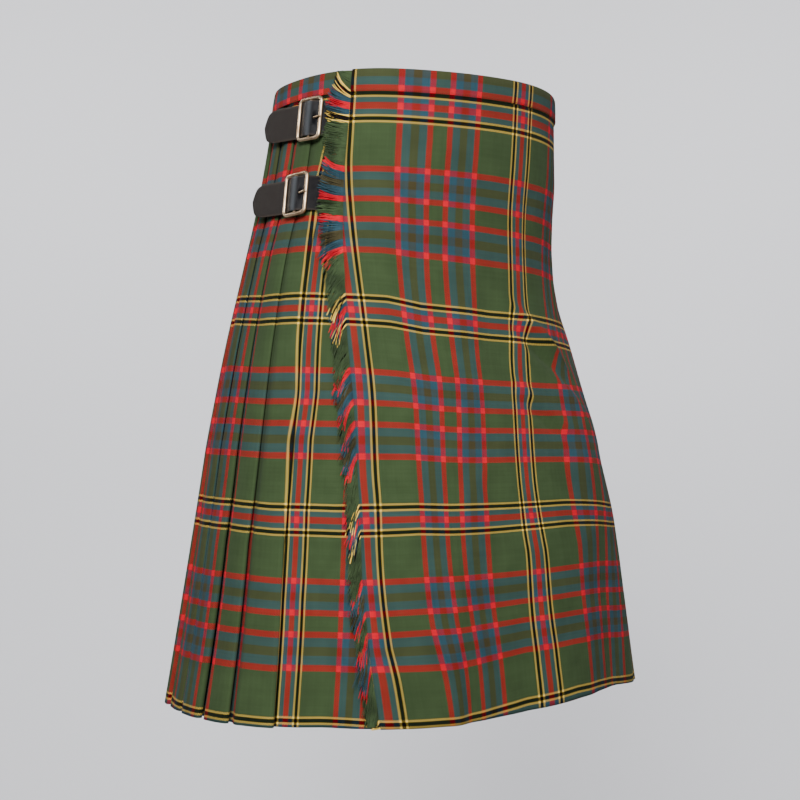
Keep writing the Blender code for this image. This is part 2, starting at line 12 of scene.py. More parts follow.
import bmesh
import bpy
import numpy as np
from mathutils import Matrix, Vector


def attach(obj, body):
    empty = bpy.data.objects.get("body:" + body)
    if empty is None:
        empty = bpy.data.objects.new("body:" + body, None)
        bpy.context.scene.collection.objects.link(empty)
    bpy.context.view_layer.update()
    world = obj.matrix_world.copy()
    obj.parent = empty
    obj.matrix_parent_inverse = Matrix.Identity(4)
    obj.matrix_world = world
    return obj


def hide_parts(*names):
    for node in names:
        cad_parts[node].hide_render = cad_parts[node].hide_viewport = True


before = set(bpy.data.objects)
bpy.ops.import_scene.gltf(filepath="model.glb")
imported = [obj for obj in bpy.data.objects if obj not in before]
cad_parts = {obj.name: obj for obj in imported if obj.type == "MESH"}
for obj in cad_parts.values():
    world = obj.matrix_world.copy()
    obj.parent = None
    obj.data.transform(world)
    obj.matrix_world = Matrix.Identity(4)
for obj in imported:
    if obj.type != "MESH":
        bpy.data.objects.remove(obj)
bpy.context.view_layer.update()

bl_info = {
    "name": "Tartan kilt",
    "version": (1, 0, 0),
    "blender": (4, 5, 0),
    "location": "3D View > Sidebar > Kilt",
    "description": "Dresses a kilt's frame in tartan, fringe, leather and brass",
    "category": "Object",
}

# ------------------------ the body line

LENGTH = 0.610  # top edge to hem, down the cloth
TOP = 0.044  # top edge above the origin
CLOTH = 0.0012  # thickness of a cloth wall in the frame
SEAM = 0.0003  # space between separate pieces
ROUNDNESS = 2.35  # superellipse exponent of the plan sections

SECTIONS = (
    # drop, half width, front depth, back depth, shift to the wearer's left
    (0.000, 0.139, 0.134, 0.098, 0.000),
    (0.060, 0.145, 0.127, 0.113, 0.000),
    (0.120, 0.153, 0.120, 0.130, 0.000),
    (0.180, 0.165, 0.116, 0.148, 0.001),
    (0.250, 0.181, 0.122, 0.163, 0.002),
    (0.330, 0.198, 0.138, 0.175, 0.004),
    (0.420, 0.215, 0.152, 0.186, 0.006),
    (0.520, 0.235, 0.160, 0.194, 0.008),
    (0.610, 0.253, 0.160, 0.202, 0.010),
)
MIDDLE_BACK = 0.010  # the depths are counted from a line this far behind the origin
GRID_DROPS = np.linspace(0.0, LENGTH, 184)
GRID_ANGLES = np.radians(np.arange(0.0, 360.5, 0.5) - 90.0)  # starts at the centre front

# ------------------------ drape

FOLDS = (
    # name, across at its top, across at its foot, top drop, foot drop, half width, height
    ("hollow over the left thigh", -0.130, -0.190, 0.08, 0.36, 0.070, -0.014),
    ("swell on the left hip", -0.185, -0.185, 0.22, 0.38, 0.045, 0.006),
    ("ridge across the left thigh", -0.045, -0.135, 0.20, 0.36, 0.016, 0.004),
    ("trough under that ridge", -0.030, -0.100, 0.28, 0.46, 0.018, -0.003),
    ("left thigh", -0.090, -0.110, 0.27, 0.52, 0.050, 0.007),
    ("drop of the left flare", -0.175, -0.215, 0.34, 0.66, 0.034, -0.003),
    ("trough beside the left flare", -0.110, -0.150, 0.36, 0.66, 0.026, -0.006),
    ("middle flare", -0.030, -0.055, 0.40, 0.66, 0.036, 0.006),
    ("middle trough", 0.035, 0.030, 0.38, 0.66, 0.030, -0.004),
    ("right thigh", 0.095, 0.110, 0.26, 0.62, 0.050, 0.005),
    ("trough beside the fringe", 0.190, 0.205, 0.30, 0.66, 0.020, -0.007),
    ("hollow of the right hip", 0.330, 0.400, 0.36, 0.62, 0.100, -0.006),
    ("back sway", 0.520, 0.640, 0.24, 0.66, 0.080, 0.006),
)
CREASES = (
    # name, across at its top, across at its foot, top drop, foot drop, half width, height
    ("pull from the upper strap", 0.118, 0.020, 0.045, 0.085, 0.012, 0.0007),
    ("pull from the lower strap", 0.125, 0.040, 0.115, 0.175, 0.016, 0.0009),
    ("soft dent under it", 0.110, 0.065, 0.150, 0.230, 0.014, -0.0008),
    ("slack over the front", 0.030, 0.055, 0.180, 0.330, 0.022, 0.0024),
    ("slack beside it", -0.012, 0.010, 0.160, 0.300, 0.015, -0.0017),
    ("press mark", -0.060, -0.052, 0.060, 0.190, 0.007, -0.0006),
    ("left hip ripple", -0.150, -0.118, 0.100, 0.240, 0.012, 0.0014),
    ("left hip dent", -0.178, -0.150, 0.130, 0.290, 0.011, -0.0013),
    ("knee line", 0.060, -0.010, 0.360, 0.460, 0.012, -0.0019),
    ("ripple over the hem", 0.080, 0.070, 0.430, 0.66, 0.014, 0.0024),
    ("ripple at the middle", 0.005, -0.008, 0.470, 0.66, 0.013, -0.0024),
    ("ripple at the left", -0.072, -0.085, 0.440, 0.66, 0.013, 0.0026),
    ("dent at the left", -0.205, -0.232, 0.480, 0.66, 0.012, -0.0016),
    ("short fold by the fringe", 0.140, 0.128, 0.400, 0.560, 0.009, -0.0010),
    ("left back ripple", -0.262, -0.300, 0.300, 0.560, 0.016, 0.0020),
    ("swell of the left hip", -0.165, -0.195, 0.145, 0.320, 0.045, 0.0075),
    ("hollow under the left hip", -0.190, -0.215, 0.230, 0.430, 0.050, -0.0062),
    ("drop beside the left fold", -0.210, -0.250, 0.440, 0.70, 0.060, -0.0040),
    ("flat of the right hip", 0.340, 0.460, 0.100, 0.66, 0.130, -0.0045),
    ("crossing fold", -0.012, -0.134, 0.203, 0.290, 0.0110, 0.0048),
    ("crest of the crossing fold", -0.026, -0.132, 0.210, 0.292, 0.0048, 0.0022),
    ("hollow under it", -0.020, -0.134, 0.228, 0.318, 0.0120, -0.0062),
    ("second crossing fold", -0.010, -0.090, 0.285, 0.350, 0.011, 0.0034),
    ("hollow under the second", -0.022, -0.098, 0.306, 0.372, 0.012, -0.0034),
    ("fold at the hem", 0.100, 0.074, 0.500, 0.70, 0.010, 0.0034),
    ("trough beside it", 0.078, 0.056, 0.500, 0.70, 0.010, -0.0036),
)
LIFTS = (
    # name, across, half width, drop where it is full, drop where it ends, height
    ("dip of the top edge", 0.070, 0.090, 0.0, 0.20, -0.005),
    ("rise of the left hem", -0.110, 0.120, LENGTH, 0.20, 0.014),
)
GRAIN = (
    # where the warp threads are pulled aside on the aprons: name, across at its top, across at its foot,
    # top drop, foot drop, half width, amount
    ("by the left waist", -0.030, -0.030, -0.06, 0.29, 0.050, 0.006),
    ("above the crossing fold", -0.033, -0.033, 0.12, 0.275, 0.060, 0.005),
    ("beside the fringe", 0.154, 0.150, 0.08, 0.40, 0.050, 0.011),
    ("over the left thigh", -0.045, -0.045, 0.25, 0.56, 0.060, -0.0205),
    ("under the left thigh", -0.040, -0.040, 0.46, 0.61, 0.070, -0.008),
    ("over the left of the hem", -0.040, -0.040, 0.46, 0.70, 0.060, -0.006),
    ("over the middle", 0.060, 0.060, 0.29, 0.57, 0.055, -0.013),
    ("under the middle", 0.060, 0.060, 0.40, 0.61, 0.060, -0.006),
    ("pulled over at the hem", 0.095, 0.095, 0.52, 0.70, 0.028, 0.012),
    ("beside the fringe, low down", 0.140, 0.140, 0.40, 0.57, 0.030, -0.004),
    ("beside the fringe, at the hem", 0.138, 0.138, 0.54, 0.66, 0.030, 0.009),
)
SLIDE_AT = (-0.15, -0.06, 0.00, 0.05, 0.078, 0.11, 0.150, 0.180, 0.240, 0.300, 0.380, 0.520)  # across
WEFT_SLIDE = (
    # drop, millimetres that the weft lies further down at each place of SLIDE_AT, the last five on the pleats
    (0.00, 0, 0, 0, 0, 0, 0, 0, 0, 0, 0, 0, 0),
    (0.03, 0, 0, 0, 0, 0, 0, 0, 0, 0, 0, 0, 0),
    (0.09, 6, 6, 5, 5, 5, 5, 5, 1, 0, -2, -2, 0),
    (0.15, 8, 8, 7, 6, 6, 5, 5, 2, 0, -4, -4, 0),
    (0.22, 14, 14, 14, 13, 12, 7, 6, 4, 2, -4, -4, 0),
    (0.30, 16, 16, 15, 14, 13, 10, 8, 8, 6, 1, 0, 0),
    (0.36, 16, 14, 12, 12, 11, 9, 9, 9, 8, 4, 2, 0),
    (0.41, 20, 13, 11, 10, 10, 9, 10, 11, 10, 6, 4, 0),
    (0.44, 16, 10, 9, 9, 9, 8, 10, 11, 10, 6, 4, 0),
    (0.48, 12, 9, 7, 6, 6, 6, 8, 9, 8, 5, 4, 0),
    (0.53, 9, 4, 1, 2, 3, 3, 5, 6, 6, 4, 4, 0),
    (0.56, 7, 2, 0, 3, 5, 5, 5, 6, 6, 5, 5, 0),
    (0.61, 7, 3, 4, 7, 8, 8, 8, 6, 6, 6, 6, 0),
)

# ------------------------ aprons and pleats

APRON_EDGE = (
    # drop, across: the fringed edge on the right hip
    (0.00, 0.147), (0.10, 0.149), (0.20, 0.149), (0.31, 0.156), (0.39, 0.162), (0.48, 0.167), (0.55, 0.165),
    (0.61, 0.158),
)
APRON_LEFT = (
    # drop, across: the folded edge on the left hip
    (0.00, -0.205), (0.17, -0.226), (0.31, -0.262), (0.45, -0.300), (0.61, -0.336),
)
APRON_FRONT_OUT = 0.0032  # the over-apron's inner face above the body line
APRON_EDGE_OUT = 0.0046  # the same at the right hip, where it lies over the straps
APRON_RISE = (0.070, 0.125)  # across: where it rises from the first to the second
APRON_SETTLE = 0.035  # across: how far from its left fold it comes down to the first
UNDER_RIGHT = 0.118  # across of the seam between the under-apron and the pleats
UNDER_LEFT = ((0.00, -0.165), (0.17, -0.182), (0.61, -0.270))  # drop, across
UNDER_COLUMNS = 70

PLEATS = 19
FIRST_FOLD = (
    # drop, across: the folded edge of the first pleat
    (0.00, 0.160), (0.10, 0.163), (0.15, 0.174), (0.17, 0.178), (0.25, 0.191), (0.32, 0.206), (0.45, 0.231),
    (0.61, 0.246),
)
FELL = 0.168  # drop to which the pleats are sewn down
TUCK = 0.52  # depth of a pleat's hidden fold, as a part of the pleat's width
TUCK_BLUNT = 0.5  # radians by which the deep turn falls short of a half circle at each end
TUCK_OUT = 0.004  # how far from the fold the cloth that comes back starts to turn
PLEAT_DIP = 0.012  # how far from the next fold a pleat's face starts to go down under it
PLEAT_DIP_PAST = 0.002  # how far past the next fold it would be all the way down
PLEAT_DIP_OVER = 0.001  # how far over its own hidden fold it may start at the earliest
PLEAT_BELLY = 0.0006  # how far a pleat's face bulges
LAYER_SEWN = 0.0016  # from one layer of a pleat to the next, where it is sewn
LAYER_HEM = 0.0044  # the same at the hem
SWAYS = (
    # how far a pleat's fold wanders at the hem: across, out; the rows repeat round the back
    (0.0000, 0.0000), (0.0016, 0.0006), (-0.0012, 0.0014), (0.0008, -0.0004), (0.0020, 0.0010),
    (-0.0018, 0.0002), (0.0004, 0.0016),
)

# ------------------------ tartan

WARP_REPEAT = 0.187
WEFT_REPEAT = 0.192
THREAD = 0.00046  # from one thread to the next
YARNS = {
    "green": (0.035, 0.056, 0.023),
    "blue": (0.021, 0.054, 0.073),
    "red": (0.520, 0.003, 0.016),
    "brown": (0.043, 0.036, 0.016),
    "yellow": (0.760, 0.500, 0.085),
    "black": (0.004, 0.002, 0.001),
}
SETT = (
    # yarn, width in mm, from the middle of the red line between the yellow ones to the middle of the green
    # between the four red bars; the sett then runs back
    ("red", 2.7), ("blue", 5.0), ("yellow", 1.8), ("black", 3.5), ("yellow", 1.8), ("green", 38.9),
    ("red", 5.9), ("blue", 7.8), ("brown", 7.8), ("blue", 7.8), ("red", 5.8), ("green", 7.2),
)
APRON_RED = 0.154  # across of a red line between yellow ones on the aprons
WEFT_RED = 0.0335  # drop of the same line across the cloth
FLAT_RED = (
    # drop, across: the red line between yellow ones on the flat stretch beside the fringe
    (0.00, 0.147), (0.13, 0.166), (0.19, 0.174), (0.25, 0.184), (0.31, 0.195), (0.355, 0.207),
    (0.42, 0.218), (0.50, 0.2275), (0.61, 0.2375),
)
FLAT_SQUEEZE = 1.25  # how much closer the lines lie there than on cloth laid flat
FLAT_COLUMNS = 13
FIRST_STEP = 0.9  # how much of the first pleat's rise, in layers, its cloth takes
FOLD_PHASE = 0.0095  # where the sett would stand at the first pleat's fold if all pleats were alike
PLEAT_PHASE = 0.0185  # how much further each pleat's fold lies along the sett
FELL_WIDTH = 0.0304  # width of a pleat where the sewing ends

# ------------------------ fringe, band and stitches

FRAY = 0.0029  # the weave ends this far inside the fringed edge, and the threads start there
YARN_COUNT = 1500
YARN_WIDTH = 0.00050  # radius
YARN_TWIST = 0.0016  # length of one turn of its twist
YARN_LENGTH = 0.0215
YARN_MARGIN = 0.0008  # drop of the first thread, and space below the last
YARN_STRAY = 5.0  # degrees by which one thread leans otherwise than the next
YARN_UNEVEN = 0.0013  # how much their lengths differ
YARN_HANG = 0.22  # how much longer a thread is that hangs straight down
YARN_SPREAD = 0.0022  # how much higher one thread's end stands than another's
YARN_ROOT = 0.0003  # how far up or down in the cloth a root lies
YARN_BEND = (0.56, 0.40, 0.75)  # a thread's middle, as parts of the way across, down and out
YARN_CLUMP = 0.007  # how far threads that lie side by side wander together
HEM_SPACE = 0.002  # the lowest threads end this far above the hem
YARN_LEAN = (
    # drop, degrees that the threads turn down from straight out of the edge
    (0.000, -60), (0.022, -50), (0.030, -22), (0.045, -12), (0.075, -14), (0.100, -28), (0.118, -18),
    (0.132, -4), (0.146, -14), (0.156, 14), (0.180, 46), (0.240, 62), (0.290, 54), (0.330, 58), (0.370, 65),
    (0.430, 66), (0.500, 68), (0.560, 74), (0.610, 78),
)
YARN_RISE = (
    # drop, how far the threads' ends stand out over their roots
    (0.000, 0.0022), (0.020, 0.0034), (0.066, 0.0034), (0.076, 0.0012), (0.094, 0.0012), (0.104, 0.0034),
    (0.138, 0.0034), (0.152, 0.0014), (0.610, 0.0016),
)

BAND_DEPTH = 0.0200
BAND_CLOTH = 0.0009  # thickness
BAND_PROUD = 0.0004  # space between the band and the cloth under it
BAND_RISE = 0.016  # across: how far before the first fold the band starts to climb onto the pleats
BAND_PHASE = 0.069  # how far down the sett the band's upper edge lies
BAND_GREEN = 0.215  # across of the middle of the green on the band behind the fringe
BAND_SECTION = (
    # drop, part of the way from the cloth's inner face to the band's outer face, out
    (0.0000, 0.0, 0.0005), (-0.0009, 0.0, 0.0007), (-0.0013, 0.35, 0.0004), (-0.0013, 0.70, 0.0002),
    (-0.0009, 1.0, -0.0004), (0.0002, 1.0, 0.0), (0.0050, 1.0, 0.0002), (0.0100, 1.0, 0.0003),
    (0.0150, 1.0, 0.0002), (0.0188, 1.0, 0.0), (0.0198, 1.0, -0.0002), (0.0202, 1.0, -0.0007),
)

STITCH_SPACE = 0.0036
STITCH_LENGTH = 0.0019
STITCH_WIDTH = 0.00022  # radius of its thread, and how far its middle stands out
STITCH_SLANT = 0.0004
STITCH_UP = 0.0012  # above the band's lower edge
STITCH_END = 0.003  # from the band's ends to the first and last stitch
STITCH_PLACE = 0.030  # the stitches are of the green yarn at this place of the sett

# ------------------------ straps and buckles

STRAPS = (("upper", 0.184, 0.044), ("lower", 0.193, 0.118))  # name, across and drop of the buckle's middle
STRAP_WIDTH = 0.0342
STRAP_THICK = 0.0020
STRAP_HIDDEN = 0.012  # how much of it lies under the over-apron
STRAP_FREE = 0.066  # from the centre bar to its tip
STRAP_LIFT = 0.007  # how far the tip stands off the pleats
STRAP_TILT = 0.0035  # how far the tip rises
STRAP_SPACE = 0.0007
STRAP_PAST = 0.0040  # how far past the frame it comes down to the pleats
# onto the first pleat: along, part of the rise
STRAP_CLIMB = ((-0.0075, 0.0), (-0.0028, 0.91), (0.0020, 1.0))
# through the buckle: part of the frame's half width, part of the way from under the frame to over the bar
STRAP_WAVE = ((-1.0, 0.0), (-0.68, 0.40), (-0.34, 0.86), (0.0, 1.0), (0.34, 0.86), (0.68, 0.40), (1.0, 0.0))
STRAP_TIP = (
    # part of the free length, part of the full width
    (0.0, 1.0), (0.30, 1.0), (0.55, 1.0), (0.74, 0.97), (0.88, 0.84), (0.96, 0.64), (1.0, 0.46),
)
LEATHER_ROWS = 110
LEATHER_SIDES = 28
LEATHER_NOSE = 0.0055  # radius of a strap's tip
LEATHER_SQUARE = (0.35, 0.6)  # exponents that square its section, along its width and its thickness
LEATHER_THIN = 0.16  # how much thinner it is at its two edges

FRAME_LONG = 0.0425
FRAME_WIDE = 0.0310
FRAME_WIRE = 0.0017  # radius
FRAME_CORNER = 0.0040
FRAME_HEAVY = (1.02, 0.10)  # thickness of its wire, and what the near side has more
FRAME_FLAT = 0.92
BAR_WIRE = 0.0012  # radius
PRONG_WIRE = 0.0011  # radius
PRONG_FLAT = 0.9
FRAME_SIDES = 16
WIRE_SIDES = 12  # of the bar and the prong
PRONG_ROWS = 26
HOLE_ROWS = 20
PRONG_HOLE = 0.0004  # space round the prong in the strap
PRONG_PATH = ((0.0, 0.0), (0.40, 0.40), (1.0, 1.0), (1.27, 0.94))  # part of the way across, part of the rise
# part of the prong's length, part of its radius there
PRONG_TAPER = ((0.0, 1.0), (0.6, 0.95), (0.92, 0.72), (0.98, 0.55), (1.0, 0.25))
PLEAT_TOP = 0.0048  # the sewn pleats' outer face above the body line
FRAME_OUT = PLEAT_TOP + 0.0056  # the buckle's middle plane above it
TAB_THICK = 0.0011
TAB_WIDTH = 0.020
TAB_PATH = (
    # along, how far below the centre bar, whether on the buckle's plane
    (BAR_WIRE + SEAM, 0.0, True), (0.0045, 0.0020, True), (0.0090, 0.0049, False), (0.0190, 0.0050, False),
    (0.0320, 0.0050, False),
)

# ------------------------ stage

CAMERA_TURN = 38.0  # degrees round from the centre front towards the wearer's right
CAMERA_FAR = 1.52
CAMERA_ASIDE = Vector((-0.002, 0.010, -0.351))
CAMERA_YAW = -0.0054
CAMERA_PITCH = 0.0601
CAMERA_LENS = 67.3
SENSOR = 36.0  # the lens and the sensor are in millimetres
FLOOR = -1.05  # height
FLOOR_NEAR = -0.4  # from the kilt towards the camera
WALL = 2.0  # from the kilt, away from the camera
WALL_TOP = 1.1  # height
SWEEP = 0.8  # radius of the turn from the floor to the wall
BACKDROP = 1.3  # half of its width
PAPER = (0.79, 0.79, 0.82, 1.0)
SKY = (0.80, 0.82, 0.88, 1.0)
SKY_STRENGTH = 0.16
LIGHTS = (
    # name; how far behind the kilt, to the camera's right and up, for the light and for what it points at;
    # size; power in watts
    ("key", -1.75, -0.30, 0.50, 0.0, 0.0, -0.25, 0.8, 66.0),
    ("fill", -1.5, 0.6, 0.0, 0.0, 0.0, -0.3, 0.9, 9.0),
    ("wall left", 0.50, -1.3, 0.7, 2.0, -0.1, 0.0, 0.8, 25.0),
    ("wall right", 0.50, 1.3, 0.7, 2.0, 0.1, 0.0, 0.8, 25.0),
)

# ------------------------ where a point of the cloth lies


def read(table, drop):
    """The value of a two-column table at this drop."""
    return float(np.interp(drop, *zip(*table)))


def smooth_step(value, low, high):
    """How much of the way from low to high is gone, with a gentle start and end."""
    part = np.clip((value - low) / (high - low), 0.0, 1.0)
    return part * part * (3 - 2 * part)


def unit(vectors):
    """Vectors of length one."""
    return vectors / np.linalg.norm(vectors, axis=-1, keepdims=True)


def curve_through(rows, at, wanted):
    """A smooth curve through rows that stand at rising places, read at the wanted places."""
    slopes = np.gradient(rows, at, axis=0)
    index = np.clip(np.searchsorted(at, wanted) - 1, 0, len(at) - 2)
    width = (at[index + 1] - at[index])[:, None]
    part = (wanted - at[index])[:, None] / width
    return (
        (2 * part**3 - 3 * part**2 + 1) * rows[index]
        + (part**3 - 2 * part**2 + part) * width * slopes[index]
        + (3 * part**2 - 2 * part**3) * rows[index + 1]
        + (part**3 - part**2) * width * slopes[index + 1]
    )


def body_grid():
    """Plan points, their heights and their distances round the body, a row for each grid drop."""
    sections = np.array(SECTIONS)
    half_width, front, back, shift = curve_through(sections[:, 1:], sections[:, 0], GRID_DROPS).T[:, :, None]
    sideways, forwards = -np.sin(GRID_ANGLES + pi / 2), np.cos(GRID_ANGLES + pi / 2)
    power = 2 / ROUNDNESS
    x = shift + half_width * np.sign(sideways) * abs(sideways) ** power
    depth = np.where(forwards > 0, front, back)
    y = MIDDLE_BACK - depth * np.sign(forwards) * abs(forwards) ** power
    steps = np.hypot(np.diff(x, axis=1), np.diff(y, axis=1))
    around = np.concatenate([np.zeros((len(x), 1)), np.cumsum(steps, axis=1)], axis=1)
    spread = np.hypot(np.diff(x, axis=0), np.diff(y, axis=0))
    fall = np.sqrt(np.diff(GRID_DROPS)[:, None] ** 2 - spread**2)
    z = TOP - np.concatenate([np.zeros((1, x.shape[1])), np.cumsum(fall, axis=0)])
    return x, y, z, around


GRID_X, GRID_Y, GRID_Z, GRID_AROUND = body_grid()


def girth(drop):
    """Distance once round the body line at this drop."""
    return float(np.interp(drop, GRID_DROPS, GRID_AROUND[:, -1]))


def away(across, centre, around):
    """Distance round the body from a centre, the short way."""
    return (across - centre + around / 2) % around - around / 2


def swells(table, across, drop):
    """The sum of the soft ridges and troughs that the table lists. One whose foot is past the hem grows
    down to the hem, and any other dies away at both its ends."""
    around = girth(drop)
    total = np.zeros_like(across)
    for _, top_across, foot_across, top, foot, width, height in table:
        part = (drop - top) / (foot - top)
        if not 0 < part < 1.0001:
            continue
        if foot <= LENGTH:
            swell = sin(pi * min(part, 1.0)) ** 1.5
        else:
            swell = sin(pi / 2 * min(part * foot / LENGTH, 1.0))
        offset = away(across, top_across + (foot_across - top_across) * part, around)
        total += height * swell * np.exp(-((offset / width) ** 2))
    return total


def lift(across, drop):
    """How far the cloth rides up here."""
    around = girth(drop)
    total = np.zeros_like(across)
    for _, centre, width, full, end, height in LIFTS:
        near = np.exp(-((away(across, centre, around) / width) ** 2))
        total += height * smooth_step(drop, end, full) * near
    return total


def on_row(row, across):
    """Positions and outward directions at distances round one row of the grid."""
    reach = 0.004
    around = GRID_AROUND[row]
    x, y = (
        [np.interp((across + step) % around[-1], around, grid[row]) for step in (-reach, 0.0, reach)]
        for grid in (GRID_X, GRID_Y)
    )
    z = np.interp(across % around[-1], around, GRID_Z[row])
    along_x, along_y = x[2] - x[0], y[2] - y[0]
    size = np.hypot(along_x, along_y)
    return np.array([x[1], y[1], z, -along_y / size, along_x / size])


def place(across, drop, out):
    """The points that lie across, drop and out, for one drop."""
    across = np.atleast_1d(np.asarray(across, float))
    level = min(max(drop, 0.0), LENGTH)
    at = level / GRID_DROPS[1]
    row = min(int(at), len(GRID_DROPS) - 2)
    part = at - row
    x, y, z, out_x, out_y = on_row(row, across) * (1 - part) + on_row(row + 1, across) * part
    size = np.hypot(out_x, out_y)
    out = swells(FOLDS + CREASES, across, drop) + out
    z = z + lift(across, level) + level - drop
    return np.stack([x + out * out_x / size, y + out * out_y / size, z], axis=1)


def spot(across, drop, out):
    """One such point."""
    return place(across, drop, out)[0]


# ------------------------ meshes


def new_object(name, data):
    """An object in the scene with this data."""
    made = bpy.data.objects.new(name, data)
    bpy.context.scene.collection.objects.link(made)
    return made


def grid_mesh(name, rows, maps, finish, closed=False, capped=False):
    """A mesh through rows of points, with a UV for each point. Each row is a ring if closed, and the first
    and the last ring get a face each if capped. Faces point the way of a first row above the next with its
    points running from the viewer's right to left."""
    count = len(rows[0])
    points = np.concatenate([np.asarray(row, float) for row in rows])
    corners = np.concatenate([np.asarray(row, float) for row in maps])
    columns = np.arange(count if closed else count - 1)
    after = (columns + 1) % count
    start = (np.arange(len(rows) - 1) * count)[:, None]
    around = [start + columns, start + after, start + count + after, start + count + columns]
    faces = np.stack(around, axis=-1)
    places = corners[faces.reshape(-1)]
    faces = faces.reshape(-1, 4).tolist()
    if capped:
        faces += [list(range(count))[::-1], list(range(len(points) - count, len(points)))]
        places = np.concatenate([places, np.tile(corners[0], (2 * count, 1))])
    mesh = bpy.data.meshes.new(name)
    mesh.from_pydata(points.tolist(), [], faces)
    layer = mesh.uv_layers.new(name="UVMap")
    layer.data.foreach_set("uv", places.astype(np.float32).reshape(-1))
    mesh.shade_smooth()
    mesh.materials.append(finish)
    return new_object(name, mesh)


def thicken(piece, thickness):
    """Gives a sheet its thickness, half on each side."""
    step = piece.modifiers.new("thickness", "SOLIDIFY")
    step.thickness = thickness
    step.offset = 0.0
    step.use_rim = True
    return piece


def bake(piece):
    """Turns what a piece's modifiers make into its own mesh."""
    graph = bpy.context.evaluated_depsgraph_get()
    made = piece.evaluated_get(graph)
    piece.data = bpy.data.meshes.new_from_object(made, preserve_all_data_layers=True, depsgraph=graph)
    piece.modifiers.clear()
    return piece.data


def face_out(piece):
    """Welds a closed mesh and turns its faces outwards."""
    shape = bmesh.new()
    shape.from_mesh(piece.data)
    bmesh.ops.remove_doubles(shape, verts=shape.verts, dist=1e-6)
    bmesh.ops.recalc_face_normals(shape, faces=shape.faces)
    shape.to_mesh(piece.data)
    shape.free()
    return piece


def arc(centre, radius, start, end, count):
    """Points of an arc as rows of (across, out)."""
    turns = np.linspace(start, end, count)
    return np.stack([centre[0] + radius * np.cos(turns), centre[1] + radius * np.sin(turns)], axis=1)


# ------------------------ cloth


def layer_step(drop):
    """Distance between the layers of a pleat at this drop."""
    return LAYER_SEWN + (LAYER_HEM - LAYER_SEWN) * float(smooth_step(drop, FELL, LENGTH))


def fold_across(number, drop):
    """Across of one pleat's folded edge: 0 is beside the fringe, PLEATS is the over-apron's left edge."""
    first = read(FIRST_FOLD, drop)
    last = girth(drop) + read(APRON_LEFT, drop)
    return first + (last - first) * number / PLEATS


def sway(number, drop):
    """How far this pleat's fold wanders here: across and out."""
    part = float(smooth_step(drop, FELL, LENGTH))
    across, out = SWAYS[number % len(SWAYS)]
    return (across * part, out * part) if 0 < number < PLEATS else (0.0, 0.0)


def fold_part(number, drop):
    """The hidden part of a pleat on the cloth's middle line, as (across, out, distance past the fold) rows:
    in under the fold of this number, round, and back out to it. The distance is counted from the fold, and
    is negative on the hidden side. The second value is how many rows come up to the deep turn's end."""
    step = layer_step(drop)
    turn = step / 2
    shift, rise = sway(number, drop)
    fold = fold_across(number, drop) + shift
    width = fold_across(number, drop) - fold_across(number - 1, drop)
    deep = fold + TUCK * width
    low, middle = CLOTH / 2, CLOTH / 2 + step
    inward = np.array([(fold, low), (deep - turn, low)])
    deep_turn = arc((deep - turn, low + turn), turn, -pi / 2 + TUCK_BLUNT, pi / 2 - TUCK_BLUNT, 4)
    back = np.array([(deep - turn, middle), (fold + turn + TUCK_OUT, middle)])
    edge = arc((fold + turn, middle + turn), turn, -pi / 2, -3 * pi / 2, 7)
    path = np.concatenate([inward, deep_turn, back, edge])
    before = len(inward) + len(deep_turn)
    edge_start = before + len(back)
    edge_middle = edge_start + len(edge) // 2
    path[edge_start:, 1] += rise * 0.5
    path[edge_middle:, 1] += rise * 0.5
    steps = np.hypot(*np.diff(path, axis=0).T)
    along = np.concatenate([[0.0], np.cumsum(steps)])
    return np.column_stack([path, along - along[edge_middle]]), before


def face_part(number, drop, count):
    """The visible face from just past one fold to just before the next, as (across, out, distance) rows."""
    step = layer_step(drop)
    shift, rise = sway(number, drop)
    next_shift, _ = sway(number + 1, drop)
    fold = fold_across(number, drop) + shift
    after = fold_across(number + 1, drop) + next_shift
    width = fold_across(number + 1, drop) - fold_across(number, drop)
    bend = fold + TUCK * width + CLOTH / 2 + SEAM
    across = np.linspace(fold + step / 2, after, count + 2)[1:-1]
    high = CLOTH / 2 + 2 * step + rise
    belly = PLEAT_BELLY * np.sin(pi * np.clip((across - fold) / (bend - fold), 0, 1))
    dip = max(bend - PLEAT_DIP_OVER, after - PLEAT_DIP)
    out = CLOTH / 2 + (high - CLOTH / 2) * (1 - smooth_step(across, dip, after + PLEAT_DIP_PAST)) + belly
    return np.column_stack([across, out, across - fold])


def flat_phase(across, drop):
    """Where the sett stands on the flat stretch beside the fringe."""
    return FLAT_SQUEEZE * (across - read(FLAT_RED, drop))


def pleat_phase(number, drop):
    """Where the sett stands at this pleat's folded edge."""
    if number == 0:
        return flat_phase(fold_across(0, drop), drop) + FIRST_STEP * layer_step(drop)
    width = fold_across(number + 1, drop) - fold_across(number, drop)
    return FOLD_PHASE + PLEAT_PHASE * number + max(FELL_WIDTH - width, 0.0)


def under_phase(number, drop, across):
    """Where the sett stands on the cloth that goes in under the fold of this number."""
    if number == 0:
        return flat_phase(across, drop)
    width = fold_across(number, drop) - fold_across(number - 1, drop)
    return pleat_phase(number - 1, drop) + width + across - across[0]


